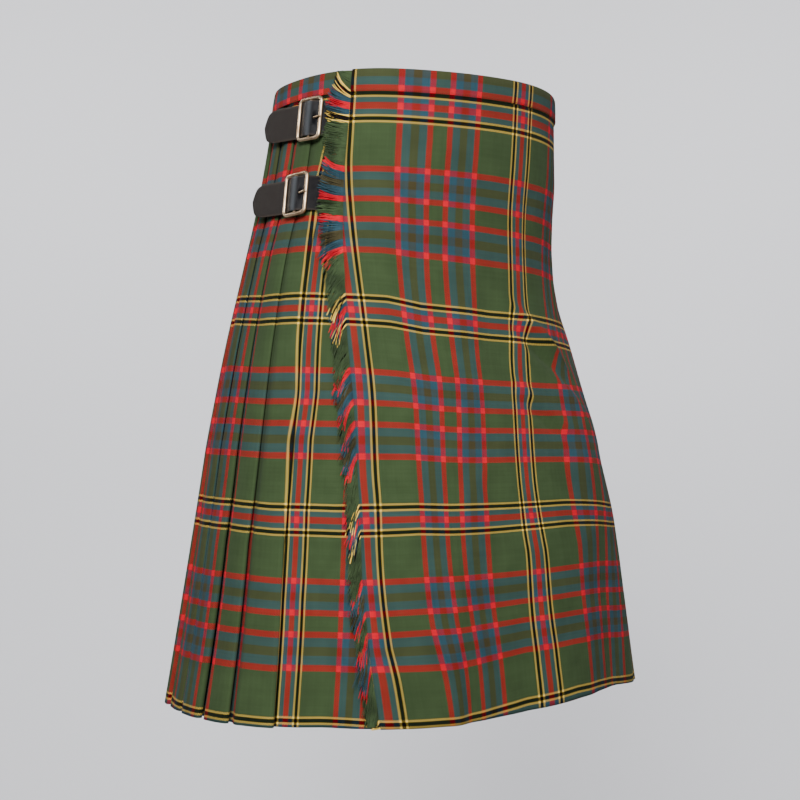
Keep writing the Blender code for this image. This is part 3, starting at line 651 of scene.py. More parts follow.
def pleat_row(first, last, drop, count):
    """One row of a stretch of pleats as (across, out, along the sett)."""
    rows = []
    if first == 0:
        across = np.linspace(UNDER_RIGHT + SEAM / 2, fold_across(0, drop), FLAT_COLUMNS + 1)[:-1]
        rows.append(np.column_stack([across, np.full(FLAT_COLUMNS, CLOTH / 2), flat_phase(across, drop)]))
    for number in range(first, last):
        hidden, before = fold_part(number, drop)
        hidden[:before, 2] = under_phase(number, drop, hidden[:before, 0])
        hidden[before:, 2] += pleat_phase(number, drop)
        rows.append(hidden if number > first or first == 0 else hidden[before:])
        face = face_part(number, drop, count)
        face[:, 2] += pleat_phase(number, drop)
        rows.append(face)
    hidden, _ = fold_part(last, drop)
    end = hidden[:2]
    end[:, 2] = under_phase(last, drop, end[:, 0])
    return np.concatenate(rows + [end])


def slide(across, drop):
    """How much further down the weft lies here than level cloth would show it."""
    drops, *columns = zip(*WEFT_SLIDE)
    return np.interp(across, SLIDE_AT, [np.interp(drop, drops, column) for column in columns]) / 1000


def sheet_from_rows(name, drops, row_of):
    """A sheet of cloth through the rows that row_of(drop) gives as (across, out, along the sett)."""
    points, maps = [], []
    for drop in drops:
        row = row_of(drop)
        points.append(place(row[:, 0], drop, row[:, 1]))
        maps.append(np.column_stack([row[:, 2], drop - WEFT_RED - slide(row[:, 0], drop)]))
    return thicken(grid_mesh(name, points, maps, finish_named("tartan cloth")), settings().thickness)


def apron_out(across):
    """How far the over-apron's inner face lies from the body line."""
    return APRON_FRONT_OUT + (APRON_EDGE_OUT - APRON_FRONT_OUT) * smooth_step(across, *APRON_RISE)


def apron_edge(drop):
    """Across of the over-apron's woven edge on the right hip."""
    return read(APRON_EDGE, drop) - FRAY


def left_fold(drop):
    """Across of the over-apron's left fold, counted from the centre front."""
    return fold_across(PLEATS, drop) - girth(drop)


def over_apron_row(drop):
    """One row of the over-apron, from the last pleat's deep turn to the woven edge."""
    hidden, before = fold_part(PLEATS, drop)
    hidden = hidden[before:]
    hidden[:, 0] -= girth(drop)
    start = hidden[-1, 0]
    across = np.linspace(start, apron_edge(drop), settings().apron_columns + 1)[1:]
    high = 2 * layer_step(drop)
    low = apron_out(across)
    out = high + (low - high) * smooth_step(across, start, start + APRON_SETTLE) + CLOTH / 2
    hidden[:, 2] += left_fold(drop) - APRON_RED
    grain = across - APRON_RED + swells(GRAIN, across, drop)
    return np.concatenate([hidden, np.column_stack([across, out, grain])])


def under_apron_row(drop):
    """One row of the under-apron."""
    across = np.linspace(read(UNDER_LEFT, drop), UNDER_RIGHT - SEAM / 2, UNDER_COLUMNS)
    return np.column_stack([across, np.full(UNDER_COLUMNS, CLOTH / 2), across - APRON_RED])


# ------------------------ waistband


def pleats_top(across, drop):
    """Outer face of the sewn pleats at the waist, as the band bridges them."""
    sewn = CLOTH + 2 * LAYER_SEWN
    first, last = fold_across(0, drop), fold_across(PLEATS, drop)
    rise = smooth_step(across, first - BAND_RISE, first - CLOTH)
    dip = (1 - TUCK) * (last - first) / PLEATS - SEAM
    return CLOTH + (sewn - CLOTH) * rise * np.clip((last + CLOTH - across) / dip, 0.0, 1.0)


def over_top(across, drop):
    """Outer face of the over-apron at the waist."""
    sewn = CLOTH + 2 * LAYER_SEWN
    low = apron_out(across) + CLOTH
    start = left_fold(drop)
    return sewn + (low - sewn) * smooth_step(across, start, start + APRON_SETTLE)


def make_band(name, ends, outer_of, inner_of, phase, count):
    """A strip of the cloth laid over the top edge, its lower edge turned under."""
    points, maps = [], []
    for drop, part, out in BAND_SECTION:
        across = np.linspace(*ends(min(max(drop, 0.0), BAND_DEPTH)), count)
        level = max(drop, 0.0)
        inner = inner_of(across, level)
        outer = outer_of(across, level) + BAND_PROUD + BAND_CLOTH / 2
        points.append(place(across, drop, inner + (outer - inner) * part + out))
        maps.append(np.column_stack([across - phase, np.full(count, BAND_PHASE + drop)]))
    return thicken(grid_mesh(name, points, maps, finish_named("tartan cloth")), BAND_CLOTH)


# ------------------------ nodes


def fill(socket, value):
    """Sets an input to a value, or links it to an output."""
    if isinstance(value, bpy.types.NodeSocket):
        socket.id_data.links.new(value, socket)
    else:
        socket.default_value = value


def wire(tree, kind, *values, **named):
    """The first output of a new node. Plain values go to its open inputs in order. Of the named ones, those
    with a capital are inputs and the others are settings."""
    node = tree.nodes.new(kind)
    for key, value in named.items():
        if key[0].islower():
            setattr(node, key, value)
    for socket, value in zip([socket for socket in node.inputs if socket.enabled], values):
        fill(socket, value)
    for key, value in named.items():
        if key[0].isupper():
            fill(node.inputs[key.replace("_", " ")], value)
    return next(socket for socket in node.outputs if socket.enabled)


def maths(tree, operation, *values):
    """A Math node's result."""
    return wire(tree, "ShaderNodeMath", *values, operation=operation)


def vectors(tree, operation, *values):
    """A Vector Math node's result."""
    return wire(tree, "ShaderNodeVectorMath", *values, operation=operation)


def mix_colour(tree, share, first, second, blend="MIX"):
    """Two colours mixed, with this share of the second."""
    return wire(tree, "ShaderNodeMix", share, first, second, data_type="RGBA", blend_type=blend)


def shaded(tree, colour, shade):
    """A colour times a brightness."""
    grey = wire(tree, "ShaderNodeCombineColor", shade, shade, shade)
    return mix_colour(tree, 1.0, colour, grey, "MULTIPLY")


def spread_value(tree, value, low, high, to_low=0.0, to_high=1.0):
    """A value taken from one range to another, smoothly and without passing its ends."""
    limits = (low, high, to_low, to_high)
    return wire(tree, "ShaderNodeMapRange", value, *limits, interpolation_type="SMOOTHSTEP")


def noise(tree, where, scale, detail):
    """Soft noise."""
    return wire(tree, "ShaderNodeTexNoise", Vector=where, Scale=scale, Detail=detail)


def ramp(tree, value, stops, interpolation="LINEAR"):
    """The colour that (place, red, green, blue) stops give a value."""
    made = wire(tree, "ShaderNodeValToRGB", value)
    colours = made.node.color_ramp
    colours.interpolation = interpolation
    colours.elements.remove(colours.elements[1])
    for number, (at, *colour) in enumerate(stops):
        stop = colours.elements.new(at) if number else colours.elements[0]
        stop.position = at
        stop.color = (*colour, 1.0)
    return made


def place_on(tree):
    """The place on the piece, in metres."""
    return wire(tree, "ShaderNodeTexCoord").node.outputs["Object"]


def uv_of(tree):
    """A piece's own map and its two parts, which on cloth run along the warp's sett and down the cloth."""
    made = wire(tree, "ShaderNodeUVMap", uv_map="UVMap")
    parts = wire(tree, "ShaderNodeSeparateXYZ", made).node.outputs
    return made, parts[0], parts[1]


def new_group(kind, name, inputs, outputs):
    """A group's tree, what it is given and what it gives. Inputs are (name, socket kind, default), and
    outputs (name, socket kind)."""
    tree = bpy.data.node_groups.new(name, kind + "NodeTree")
    for label, socket_kind, default in inputs:
        socket = tree.interface.new_socket(label, in_out="INPUT", socket_type="NodeSocket" + socket_kind)
        if default is not None:
            socket.default_value = default
    for label, socket_kind in outputs:
        tree.interface.new_socket(label, in_out="OUTPUT", socket_type="NodeSocket" + socket_kind)
    return tree, tree.nodes.new("NodeGroupInput").outputs, tree.nodes.new("NodeGroupOutput").inputs


def use_group(tree, name, **inputs):
    """The outputs of a group that is given these inputs."""
    return wire(tree, "ShaderNodeGroup", node_tree=bpy.data.node_groups[name], **inputs).node.outputs


def new_finish(name, **values):
    """A new material with one Principled shader: the material, its tree and its shader's inputs."""
    made = bpy.data.materials.new(name)
    made.use_nodes = True
    given = made.node_tree.nodes["Principled BSDF"].inputs
    for key, value in values.items():
        given[key.replace("_", " ")].default_value = value
    return made, made.node_tree, given


def bump(tree, height, strength, distance):
    """The normal of a surface with this height."""
    return wire(tree, "ShaderNodeBump", Strength=strength, Distance=distance, Height=height)


# ------------------------ finishes


def make_sett_group():
    """The yarn at a place along the sett: it runs to the middle of the green and back."""
    inputs = [("Place", "Float", 0.0), ("Repeat", "Float", WARP_REPEAT)]
    tree, given, result = new_group("Shader", "sett", inputs, [("Colour", "Color")])
    half = maths(tree, "MULTIPLY", given["Repeat"], 0.5)
    folded = maths(tree, "PINGPONG", given["Place"], half)
    whole = sum(width for _, width in SETT)
    stops, at = [], 0.0
    for yarn, width in SETT:
        stops.append((at / whole, *getattr(settings(), yarn)))
        at += width
    fill(result["Colour"], ramp(tree, maths(tree, "DIVIDE", folded, half), stops, "CONSTANT"))


def make_yarn_group():
    """Small differences between one thread and the next, as a brightness near 1."""
    inputs = [("Place", "Float", 0.0), ("Amount", "Float", 0.1)]
    tree, given, result = new_group("Shader", "yarn shade", inputs, [("Shade", "Float")])
    number = maths(tree, "FLOOR", maths(tree, "DIVIDE", given["Place"], THREAD * 2))
    chance = wire(tree, "ShaderNodeTexWhiteNoise", number, noise_dimensions="1D")
    centred = maths(tree, "SUBTRACT", chance, 0.5)
    fill(result["Shade"], maths(tree, "MULTIPLY_ADD", centred, given["Amount"], 1.0))


def make_twill_group():
    """A two and two twill: where the warp lies on top, and the height of its ribs."""
    inputs = [("Warp", "Float", 0.0), ("Weft", "Float", 0.0), ("Thread", "Float", THREAD)]
    outputs = [("Warp on top", "Float"), ("Height", "Float")]
    tree, given, result = new_group("Shader", "twill", inputs, outputs)
    period = maths(tree, "MULTIPLY", given["Thread"], 4.0)
    slant = maths(tree, "DIVIDE", maths(tree, "ADD", given["Warp"], given["Weft"]), period)
    wave = maths(tree, "MULTIPLY", maths(tree, "PINGPONG", slant, 0.5), 2.0)
    fill(result["Warp on top"], spread_value(tree, wave, 0.38, 0.62))
    turn = maths(tree, "MULTIPLY", slant, 2 * pi)
    fill(result["Height"], maths(tree, "ABSOLUTE", maths(tree, "SINE", turn)))


def make_nap_group():
    """The soft haze of wool: a mask of pale fibre, a broad mottle and a fine height."""
    inputs = [("Vector", "Vector", None), ("Scale", "Float", 900.0)]
    outputs = [("Fibre", "Float"), ("Mottle", "Float"), ("Height", "Float")]
    tree, given, result = new_group("Shader", "nap", inputs, outputs)
    fine = noise(tree, given["Vector"], given["Scale"], 3.0)
    broad = noise(tree, given["Vector"], maths(tree, "DIVIDE", given["Scale"], 25.0), 4.0)
    fill(result["Fibre"], spread_value(tree, fine, 0.56, 0.75))
    fill(result["Mottle"], broad)
    fill(result["Height"], fine)


def make_tartan_finish():
    """Worsted twill in the kilt's tartan."""
    finish, tree, shader = new_finish(
        "tartan cloth", Roughness=0.92, Sheen_Weight=0.015, Sheen_Roughness=0.5, Specular_IOR_Level=0.04
    )
    vector, warp, weft = uv_of(tree)
    twill = use_group(tree, "twill", Warp=warp, Weft=weft)
    colours = []
    for along, repeat in ((warp, WARP_REPEAT), (weft, WEFT_REPEAT)):
        colour = use_group(tree, "sett", Place=along, Repeat=repeat)[0]
        colours.append(shaded(tree, colour, use_group(tree, "yarn shade", Place=along, Amount=0.16)[0]))
    woven = mix_colour(tree, twill["Warp on top"], colours[1], colours[0])
    nap = use_group(tree, "nap", Vector=vector)
    hazy = mix_colour(tree, maths(tree, "MULTIPLY", nap["Fibre"], 0.03), woven, (0.20, 0.19, 0.14, 1.0))
    # black shows more than half where it crosses another yarn; yarns far apart in colour darken each other
    sums = [vectors(tree, "DOT_PRODUCT", colour, (1.0, 1.0, 1.0)) for colour in colours]
    black = spread_value(tree, maths(tree, "MINIMUM", *sums), 0.008, 0.05, 0.36, 1.0)
    unlike = spread_value(tree, vectors(tree, "DISTANCE", *colours), 0.05, 0.34, 1.0, 0.68)
    mottle = spread_value(tree, nap["Mottle"], 0.3, 0.7, 0.91, 1.06)
    shade = maths(tree, "MULTIPLY", mottle, maths(tree, "MULTIPLY", black, unlike))
    fill(shader["Base Color"], shaded(tree, hazy, shade))
    height = maths(tree, "MULTIPLY_ADD", nap["Height"], 0.7, twill["Height"])
    fill(shader["Normal"], bump(tree, height, 0.5, 0.00018))
    return finish


def make_yarn_finish():
    """Loose weft threads, each in the colour of its place on the sett."""
    finish, tree, shader = new_finish(
        "fringe yarn", Roughness=0.92, Sheen_Weight=0.05, Sheen_Roughness=0.5, Specular_IOR_Level=0.08
    )
    _, run, weft = uv_of(tree)
    colour = use_group(tree, "sett", Place=weft, Repeat=WEFT_REPEAT)[0]
    nap = use_group(tree, "nap", Vector=place_on(tree), Scale=1500.0)
    hazy = mix_colour(tree, maths(tree, "MULTIPLY", nap["Fibre"], 0.06), colour, (0.25, 0.23, 0.18, 1.0))
    shade = spread_value(tree, nap["Mottle"], 0.3, 0.7, 0.62, 1.22)
    fill(shader["Base Color"], shaded(tree, hazy, shade))
    twist = maths(tree, "SINE", maths(tree, "MULTIPLY", run, 2 * pi / YARN_TWIST))
    height = maths(tree, "MULTIPLY_ADD", nap["Height"], 0.6, twist)
    fill(shader["Normal"], bump(tree, height, 0.5, 0.0002))
    return finish


def make_leather_finish():
    """Black leather with a painted highlight streak over the bar, a suede back past it and paler edges."""
    finish, tree, shader = new_finish("strap leather", Specular_IOR_Level=0.13)
    where = place_on(tree)
    _, side, along = uv_of(tree)
    grain = wire(tree, "ShaderNodeTexVoronoi", Vector=where, Scale=1100.0, feature="DISTANCE_TO_EDGE")
    broad, fine = noise(tree, where, 120.0, 6.0), noise(tree, where, 1400.0, 3.0)
    suede = spread_value(tree, along, 0.008, 0.014)
    black = ramp(tree, broad, ((0.30, 0.0035, 0.0035, 0.0045), (0.75, 0.010, 0.009, 0.010)))
    worn = mix_colour(tree, maths(tree, "MULTIPLY", suede, 0.7), black, (0.020, 0.015, 0.012, 1.0))
    rim = spread_value(tree, maths(tree, "ABSOLUTE", side), 0.42, 0.5)
    edged = mix_colour(tree, maths(tree, "MULTIPLY", rim, 0.35), worn, (0.075, 0.055, 0.040, 1.0))
    # painted highlight: a pale bluish streak in the base colour where the strap bulges over the centre bar,
    # standing in for the sheen of light on it
    from_painted_highlight = maths(tree, "ABSOLUTE", maths(tree, "ADD", along, 0.0005))
    painted_highlight = spread_value(tree, from_painted_highlight, 0.0002, 0.0042, 0.75, 0.0)
    fill(shader["Base Color"], mix_colour(tree, painted_highlight, edged, (0.052, 0.058, 0.064, 1.0)))
    rough = maths(tree, "MULTIPLY_ADD", suede, 0.26, maths(tree, "MULTIPLY_ADD", broad, 0.22, 0.30))
    fill(shader["Roughness"], rough)
    crinkle = maths(tree, "MULTIPLY_ADD", broad, 0.8, spread_value(tree, grain, 0.0, 0.25))
    fill(shader["Normal"], bump(tree, maths(tree, "MULTIPLY_ADD", fine, 0.6, crinkle), 0.45, 0.00022))
    return finish


def make_brass_finish():
    """Dull old brass."""
    finish, tree, shader = new_finish("antique brass", Metallic=1.0)
    where = place_on(tree)
    broad, fine = noise(tree, where, 70.0, 4.0), noise(tree, where, 1800.0, 2.0)
    fill(shader["Base Color"], ramp(tree, broad, ((0.34, 0.32, 0.21, 0.12), (0.58, 0.66, 0.50, 0.33))))
    fill(shader["Roughness"], spread_value(tree, broad, 0.3, 0.7, 0.50, 0.38))
    fill(shader["Normal"], bump(tree, fine, 0.12, 0.00004))
    return finish


def finish_named(name):
    """A finish of this kilt, made when first asked for."""
    makers = {
        "tartan cloth": make_tartan_finish,
        "fringe yarn": make_yarn_finish,
        "strap leather": make_leather_finish,
        "antique brass": make_brass_finish,
    }
    if "sett" not in bpy.data.node_groups:
        make_sett_group()
        make_yarn_group()
        make_twill_group()
        make_nap_group()
    return bpy.data.materials.get(name) or makers[name]()


# ------------------------ threads


def make_thread_tree():
    """Turns marked points into soft threads. Each point carries its root, the reach to its end, the bend of
    its middle and a place on the sett; threads that lie near each other wander together."""
    inputs = [
        ("Geometry", "Geometry", None),
        ("Width", "Float", YARN_WIDTH),
        ("Taper", "Float", 0.3),
        ("Wander together", "Float", 0.004),
        ("Wander alone", "Float", 0.0016),
        ("Steps", "Int", 8),
        ("Seed", "Float", 3.0),
        ("Finish", "Material", None),
    ]
    tree, given, result = new_group("Geometry", "threads", inputs, [("Geometry", "Geometry")])

    def marked(name, kind="FLOAT_VECTOR"):
        return wire(tree, "GeometryNodeInputNamedAttribute", name, data_type=kind)

    def moved(way, vector, amount):
        return vectors(tree, "ADD", way, vectors(tree, "SCALE", vector, amount))

    def centred_noise(where, scale):
        seed = given["Seed"]
        made = wire(tree, "ShaderNodeTexNoise", noise_dimensions="4D", Vector=where, Scale=scale, W=seed)
        return vectors(tree, "SUBTRACT", made.node.outputs["Color"], (0.5, 0.5, 0.5))

    def stored(geometry, name, value, kind, domain):
        return wire(
            tree,
            "GeometryNodeStoreNamedAttribute",
            Geometry=geometry,
            Name=name,
            Value=value,
            data_type=kind,
            domain=domain,
        )

    line = wire(tree, "GeometryNodeCurvePrimitiveLine", End=(0.0, 0.0, 0.01))
    line = wire(tree, "GeometryNodeResampleCurve", Curve=line, Count=given["Steps"])
    laid = wire(tree, "GeometryNodeInstanceOnPoints", Points=given["Geometry"], Instance=line)
    laid = wire(tree, "GeometryNodeRealizeInstances", laid)
    part = wire(tree, "GeometryNodeSplineParameter")
    hump = maths(tree, "MULTIPLY", maths(tree, "MULTIPLY", part, maths(tree, "SUBTRACT", 1.0, part)), 4.0)
    root, bend = marked("root"), marked("bend")
    way = moved(moved(root, marked("reach"), part), bend, hump)
    together = maths(tree, "MULTIPLY", maths(tree, "POWER", part, 1.6), given["Wander together"])
    way = moved(way, centred_noise(root, 95.0), together)
    own = moved(vectors(tree, "SCALE", root, 40.0), bend, 300.0)
    way = moved(way, centred_noise(own, 60.0), maths(tree, "MULTIPLY", part, given["Wander alone"]))
    laid = wire(tree, "GeometryNodeSetPosition", Geometry=laid, Position=way)
    thin = maths(tree, "SUBTRACT", 1.0, maths(tree, "MULTIPLY", part, given["Taper"]))
    laid = stored(laid, "run", part, "FLOAT", "POINT")
    ring = wire(tree, "GeometryNodeCurvePrimitiveCircle", Resolution=5, Radius=1.0)
    radius = maths(tree, "MULTIPLY", thin, given["Width"])
    meshed = wire(
        tree, "GeometryNodeCurveToMesh", Curve=laid, Profile_Curve=ring, Scale=radius, Fill_Caps=True
    )
    run = maths(tree, "MULTIPLY", marked("run", "FLOAT"), YARN_LENGTH)
    map_at = wire(tree, "ShaderNodeCombineXYZ", run, marked("place", "FLOAT"))
    meshed = stored(meshed, "UVMap", map_at, "FLOAT2", "CORNER")
    meshed = wire(tree, "GeometryNodeSetShadeSmooth", meshed)
    meshed = wire(tree, "GeometryNodeRealizeInstances", meshed)
    fill(result[0], wire(tree, "GeometryNodeSetMaterial", Geometry=meshed, Material=given["Finish"]))
    return tree


def lay_threads(name, roots, reaches, bends, places, **inputs):
    """A mesh of threads from these roots, with the thread tree's inputs set by name."""
    mesh = bpy.data.meshes.new(name + "_roots")
    mesh.from_pydata([tuple(root) for root in roots], [], [])
    for label, values in (("root", roots), ("reach", reaches), ("bend", bends)):
        layer = mesh.attributes.new(label, "FLOAT_VECTOR", "POINT")
        layer.data.foreach_set("vector", np.asarray(values, np.float32).reshape(-1))
    layer = mesh.attributes.new("place", "FLOAT", "POINT")
    layer.data.foreach_set("value", np.asarray(places, np.float32))
    piece = new_object(name, mesh)
    tree = bpy.data.node_groups.get("threads") or make_thread_tree()
    step = piece.modifiers.new("threads", "NODES")
    step.node_group = tree
    labels = {item.name: item.identifier for item in tree.interface.items_tree if item.in_out == "INPUT"}
    step[labels["Finish"]] = finish_named("fringe yarn")
    for key, value in inputs.items():
        step[labels[key.replace("_", " ")]] = value
    made = bake(piece)
    made.name = name
    for label in ("root", "reach", "bend", "place", "run"):
        if label in made.attributes:
            made.attributes.remove(made.attributes[label])
    return piece


def make_fringe():
    """The frayed edge: the weft threads of the over-apron, drawn out past its last warp threads."""
    chance = np.random.default_rng(11)
    roots, reaches, bends, places = [], [], [], []
    cloth = settings()
    for drop in np.linspace(YARN_MARGIN, LENGTH - YARN_MARGIN, cloth.threads):
        edge = apron_edge(drop)
        low = apron_out(edge) + CLOTH / 2
        lean = radians(read(YARN_LEAN, drop) + chance.normal(0.0, YARN_STRAY))
        length = cloth.thread_length + chance.normal(0.0, YARN_UNEVEN)
        length *= 1.0 + YARN_HANG * max(sin(lean), 0.0)
        fall = min(length * sin(lean), max(LENGTH - HEM_SPACE - drop, HEM_SPACE / 2))
        fall = max(fall, -drop * 0.95)
        out = read(YARN_RISE, drop) + chance.uniform(0.0, YARN_SPREAD)
        root = spot(edge, drop, low + chance.uniform(-YARN_ROOT, YARN_ROOT))
        far = length * cos(lean)
        tip = spot(edge + far, drop + fall, low + out)
        middle = spot(edge + far * YARN_BEND[0], drop + fall * YARN_BEND[1], low + out * YARN_BEND[2])
        roots.append(root)
        reaches.append(tip - root)
        bends.append(middle - (root + tip) / 2)
        places.append(drop - WEFT_RED - float(slide(edge, drop)))
    return lay_threads("fringe_yarn", roots, reaches, bends, places, Wander_together=YARN_CLUMP)


def make_band_stitches(name, ends, outer_of):
    """Small slanting stitches that hold the band's lower edge down."""
    drop = BAND_DEPTH - STITCH_UP
    start, end = ends(drop)
    roots, reaches, bends = [], [], []
    for across in np.arange(start + STITCH_END, end - STITCH_END, STITCH_SPACE):
        here = np.array([across, across + STITCH_LENGTH])
        first, last = place(here, drop, outer_of(here, drop) + BAND_PROUD + BAND_CLOTH)
        roots.append(first)
        reaches.append(last + (0, 0, STITCH_SLANT) - first)
        bends.append(unit(spot(across, drop, STITCH_LENGTH) - spot(across, drop, 0.0)) * STITCH_WIDTH)
    places = [STITCH_PLACE] * len(roots)
    plain = {"Wander_together": 0.0, "Wander_alone": 0.0, "Width": STITCH_WIDTH, "Steps": 5}
    return lay_threads(name, roots, reaches, bends, places, **plain)


# ------------------------ straps and buckles


def buckle_plane(centre, drop):
    """The flat plane that touches the cloth at a buckle's centre: its middle, and its directions across, down
    and out."""
    reach = 0.010
    down = unit(spot(centre, drop + reach, 0.0) - spot(centre, drop - reach, 0.0))
    out = unit(np.cross(spot(centre + reach, drop, 0.0) - spot(centre - reach, drop, 0.0), down))
    return spot(centre, drop, 0.0), np.cross(down, out), down, out


def on_plane(plane, across, down, out):
    """A point this far across, down and out from a buckle's middle."""
    return plane[0] + across * plane[1] + down * plane[2] + out * plane[3]


def strap_stations(root, rise):
    """A strap's path as (distance from the buckle's centre bar, out of its underside, part of its full width,
    whether on the buckle's plane). It comes from the apron at root, climbs over the first pleat at rise, goes
    under the near side of the frame, over the centre bar, under the far side, and ends free."""
    side = FRAME_WIDE / 2 - FRAME_WIRE
    under = FRAME_OUT - FRAME_WIRE - SEAM - STRAP_THICK
    over = FRAME_OUT + BAR_WIRE + SEAM
    low = CLOTH + STRAP_SPACE
    stations = [(along, low, 1.0, False) for along in np.linspace(root, rise + STRAP_CLIMB[0][0], 3)]
    for along, part in STRAP_CLIMB[1:]:
        stations.append((rise + along, low + (PLEAT_TOP + SEAM - low) * part, 1.0, False))
    for along, part in STRAP_WAVE:
        stations.append((side * along, under + (over - under) * part, 1.0, True))
    near = side + STRAP_PAST
    for part, wide in STRAP_TIP:
        out = PLEAT_TOP + STRAP_THICK + STRAP_LIFT * part**2
        stations.append((near + (STRAP_FREE - near) * part, out, wide, False))
    return stations


def smooth_through(points, count):
    """A smooth curve of this many rows through these rows, whose first three columns are a place."""
    points = np.asarray(points, float)
    steps = np.sqrt(np.maximum(np.hypot.reduce(np.diff(points[:, :3], axis=0), axis=1), 1e-6))
    at = np.concatenate([[0.0], np.cumsum(steps)])
    return curve_through(points, at, np.linspace(0.0, at[-1], count))


def make_leather(name, centre, drop, stations, width, thick, rounded):
    """A strip of leather with rolled edges along its stations; rounded ends its free end in a curve."""
    plane = buckle_plane(centre, drop)
    lines = []
    for along, out, wide, flat in stations:
        level = out + thick / 2
        tilt = STRAP_TILT * max(along, 0.0) / STRAP_FREE
        for down in (-width / 2 - tilt, -tilt, width / 2 - tilt):
            on = on_plane(plane, along, down, level) if flat else spot(centre + along, drop + down, level)
            lines.append(on)
    edges = np.array(lines).reshape(len(stations), 9)
    wides = np.array([wide for _, _, wide, _ in stations])[:, None]
    path = smooth_through(np.column_stack([edges[:, 3:6], edges, wides]), LEATHER_ROWS)
    top, middle, bottom, wide = path[:, 3:6], path[:, 6:9], path[:, 9:12], np.clip(path[:, 12], 0.05, 1.0)
    run = np.concatenate([[0.0], np.cumsum(np.linalg.norm(np.diff(middle, axis=0), axis=1))])
    from_bar = run - run[np.argmin(np.linalg.norm(middle - plane[0], axis=1))]
    if rounded:
        into_nose = np.clip(run - run[-1] + LEATHER_NOSE, 0, None) / LEATHER_NOSE
        wide = wide * np.sqrt(np.clip(1 - into_nose**2, 0.002, 1))
    out = unit(np.cross(np.gradient(middle, axis=0), bottom - top))
    turns = np.linspace(0, 2 * pi, LEATHER_SIDES, endpoint=False)
    side = np.sign(np.cos(turns)) * abs(np.cos(turns)) ** LEATHER_SQUARE[0]
    up = np.sign(np.sin(turns)) * abs(np.sin(turns)) ** LEATHER_SQUARE[1]
    up = up * (1 - LEATHER_THIN * abs(side) ** 6)
    points, maps = [], []
    for i in range(LEATHER_ROWS):
        place_side = side[:, None] * wide[i]
        half = (bottom[i] - top[i]) / 2
        sag = (top[i] + bottom[i]) / 2 - middle[i]
        points.append(middle[i] + place_side * half + place_side**2 * sag + up[:, None] * out[i] * thick / 2)
        maps.append(np.column_stack([side * wide[i] / 2, np.full(LEATHER_SIDES, from_bar[i])]))
    return face_out(grid_mesh(name, points, maps, finish_named("strap leather"), closed=True, capped=True))


def tube(name, path, out, radii, sides, finish, closed=False, flatness=1.0):
    """A wire along a path that lies in a plane facing out. Each point has its own radius."""
    path = np.asarray(path, float)
    ahead = np.roll(path, -1, axis=0) - np.roll(path, 1, axis=0)
    if not closed:
        ahead[0], ahead[-1] = path[1] - path[0], path[-1] - path[-2]
    ahead = unit(ahead)
    side = unit(np.cross(ahead, out))
    up = np.cross(side, ahead)
    turns = np.linspace(0, 2 * pi, sides, endpoint=False)
    cosines, sines = np.cos(turns)[:, None], np.sin(turns)[:, None]
    rings = [path[i] + radii[i] * (side[i] * cosines + up[i] * sines * flatness) for i in range(len(path))]
    if closed:
        rings.append(rings[0])
    maps = [np.column_stack([turns, np.full(sides, float(i))]) for i in range(len(rings))]
    return face_out(grid_mesh(name, rings, maps, finish_named(finish), closed=True, capped=not closed))


def join_pieces(first, *others):
    """One object from several."""
    chosen = [first, *others]
    context = {"active_object": first, "selected_objects": chosen, "selected_editable_objects": chosen}
    with bpy.context.temp_override(**context):
        bpy.ops.object.join()
    return first


def make_buckle(name, centre, drop):
    """A cast frame with round corners, a heavier near side and a centre bar."""
    plane = buckle_plane(centre, drop)
    wide = FRAME_WIDE / 2 - FRAME_WIRE
    tall = FRAME_LONG / 2 - FRAME_WIRE
    bends = []
    for corner, (sx, sy) in enumerate(((1, 1), (-1, 1), (-1, -1), (1, -1))):
        bends.append([])
        for turn in pi / 2 * (corner + np.linspace(0, 1, 8)):
            across = sx * (wide - FRAME_CORNER) + FRAME_CORNER * cos(turn)
            down = sy * (tall - FRAME_CORNER) + FRAME_CORNER * sin(turn)
            bends[-1].append(on_plane(plane, across, down, FRAME_OUT))
    path = []
    for bend, after in zip(bends, bends[1:] + bends[:1]):
        path += bend
        path += [bend[-1] + (after[0] - bend[-1]) * part for part in np.linspace(0, 1, 10)[1:-1]]
    near = -np.dot(np.array(path) - plane[0], plane[1]) / wide
    radii = FRAME_WIRE * (FRAME_HEAVY[0] + FRAME_HEAVY[1] * np.clip(near, -1, 1))
    around = tube("frame_of_" + name, path, plane[3], radii, FRAME_SIDES, "antique brass", True, FRAME_FLAT)
    bar_path = [on_plane(plane, 0.0, down, FRAME_OUT) for down in np.linspace(-tall, tall, 12)]
    bar = tube("bar_of_" + name, bar_path, plane[3], [BAR_WIRE] * 12, WIRE_SIDES, "antique brass")
    return join_pieces(around, bar)


def prong_path(plane, count):
    """From the centre bar, up through the strap, to its rest on the frame's near side."""
    side = FRAME_WIDE / 2 - FRAME_WIRE
    rise = FRAME_WIRE + PRONG_WIRE + SEAM / 2
    start = -BAR_WIRE - PRONG_WIRE - SEAM
    path = []
    for along, part in PRONG_PATH:
        path.append(on_plane(plane, start + (-side - start) * along, 0.0, FRAME_OUT + rise * part))
    return smooth_through(path, count)


def make_prong(name, centre, drop):
    """The buckle's prong."""
    plane = buckle_plane(centre, drop)
    path = prong_path(plane, PRONG_ROWS)
    radii = PRONG_WIRE * np.interp(np.linspace(0, 1, PRONG_ROWS), *zip(*PRONG_TAPER))
    return tube("prong_of_" + name, path, plane[3], radii, WIRE_SIDES, "antique brass", flatness=PRONG_FLAT)


def cut_hole(strap, centre, drop):
    """Cuts the prong's hole through a strap."""
    plane = buckle_plane(centre, drop)
    path, radii = prong_path(plane, HOLE_ROWS), [PRONG_WIRE + PRONG_HOLE] * HOLE_ROWS
    cutter = tube("cutter", path, plane[3], radii, WIRE_SIDES, "strap leather")
    step = strap.modifiers.new("hole", "BOOLEAN")
    step.object = cutter
    step.solver = "EXACT"
    bake(strap)
    bpy.data.objects.remove(cutter)


# ------------------------ the garment's settings


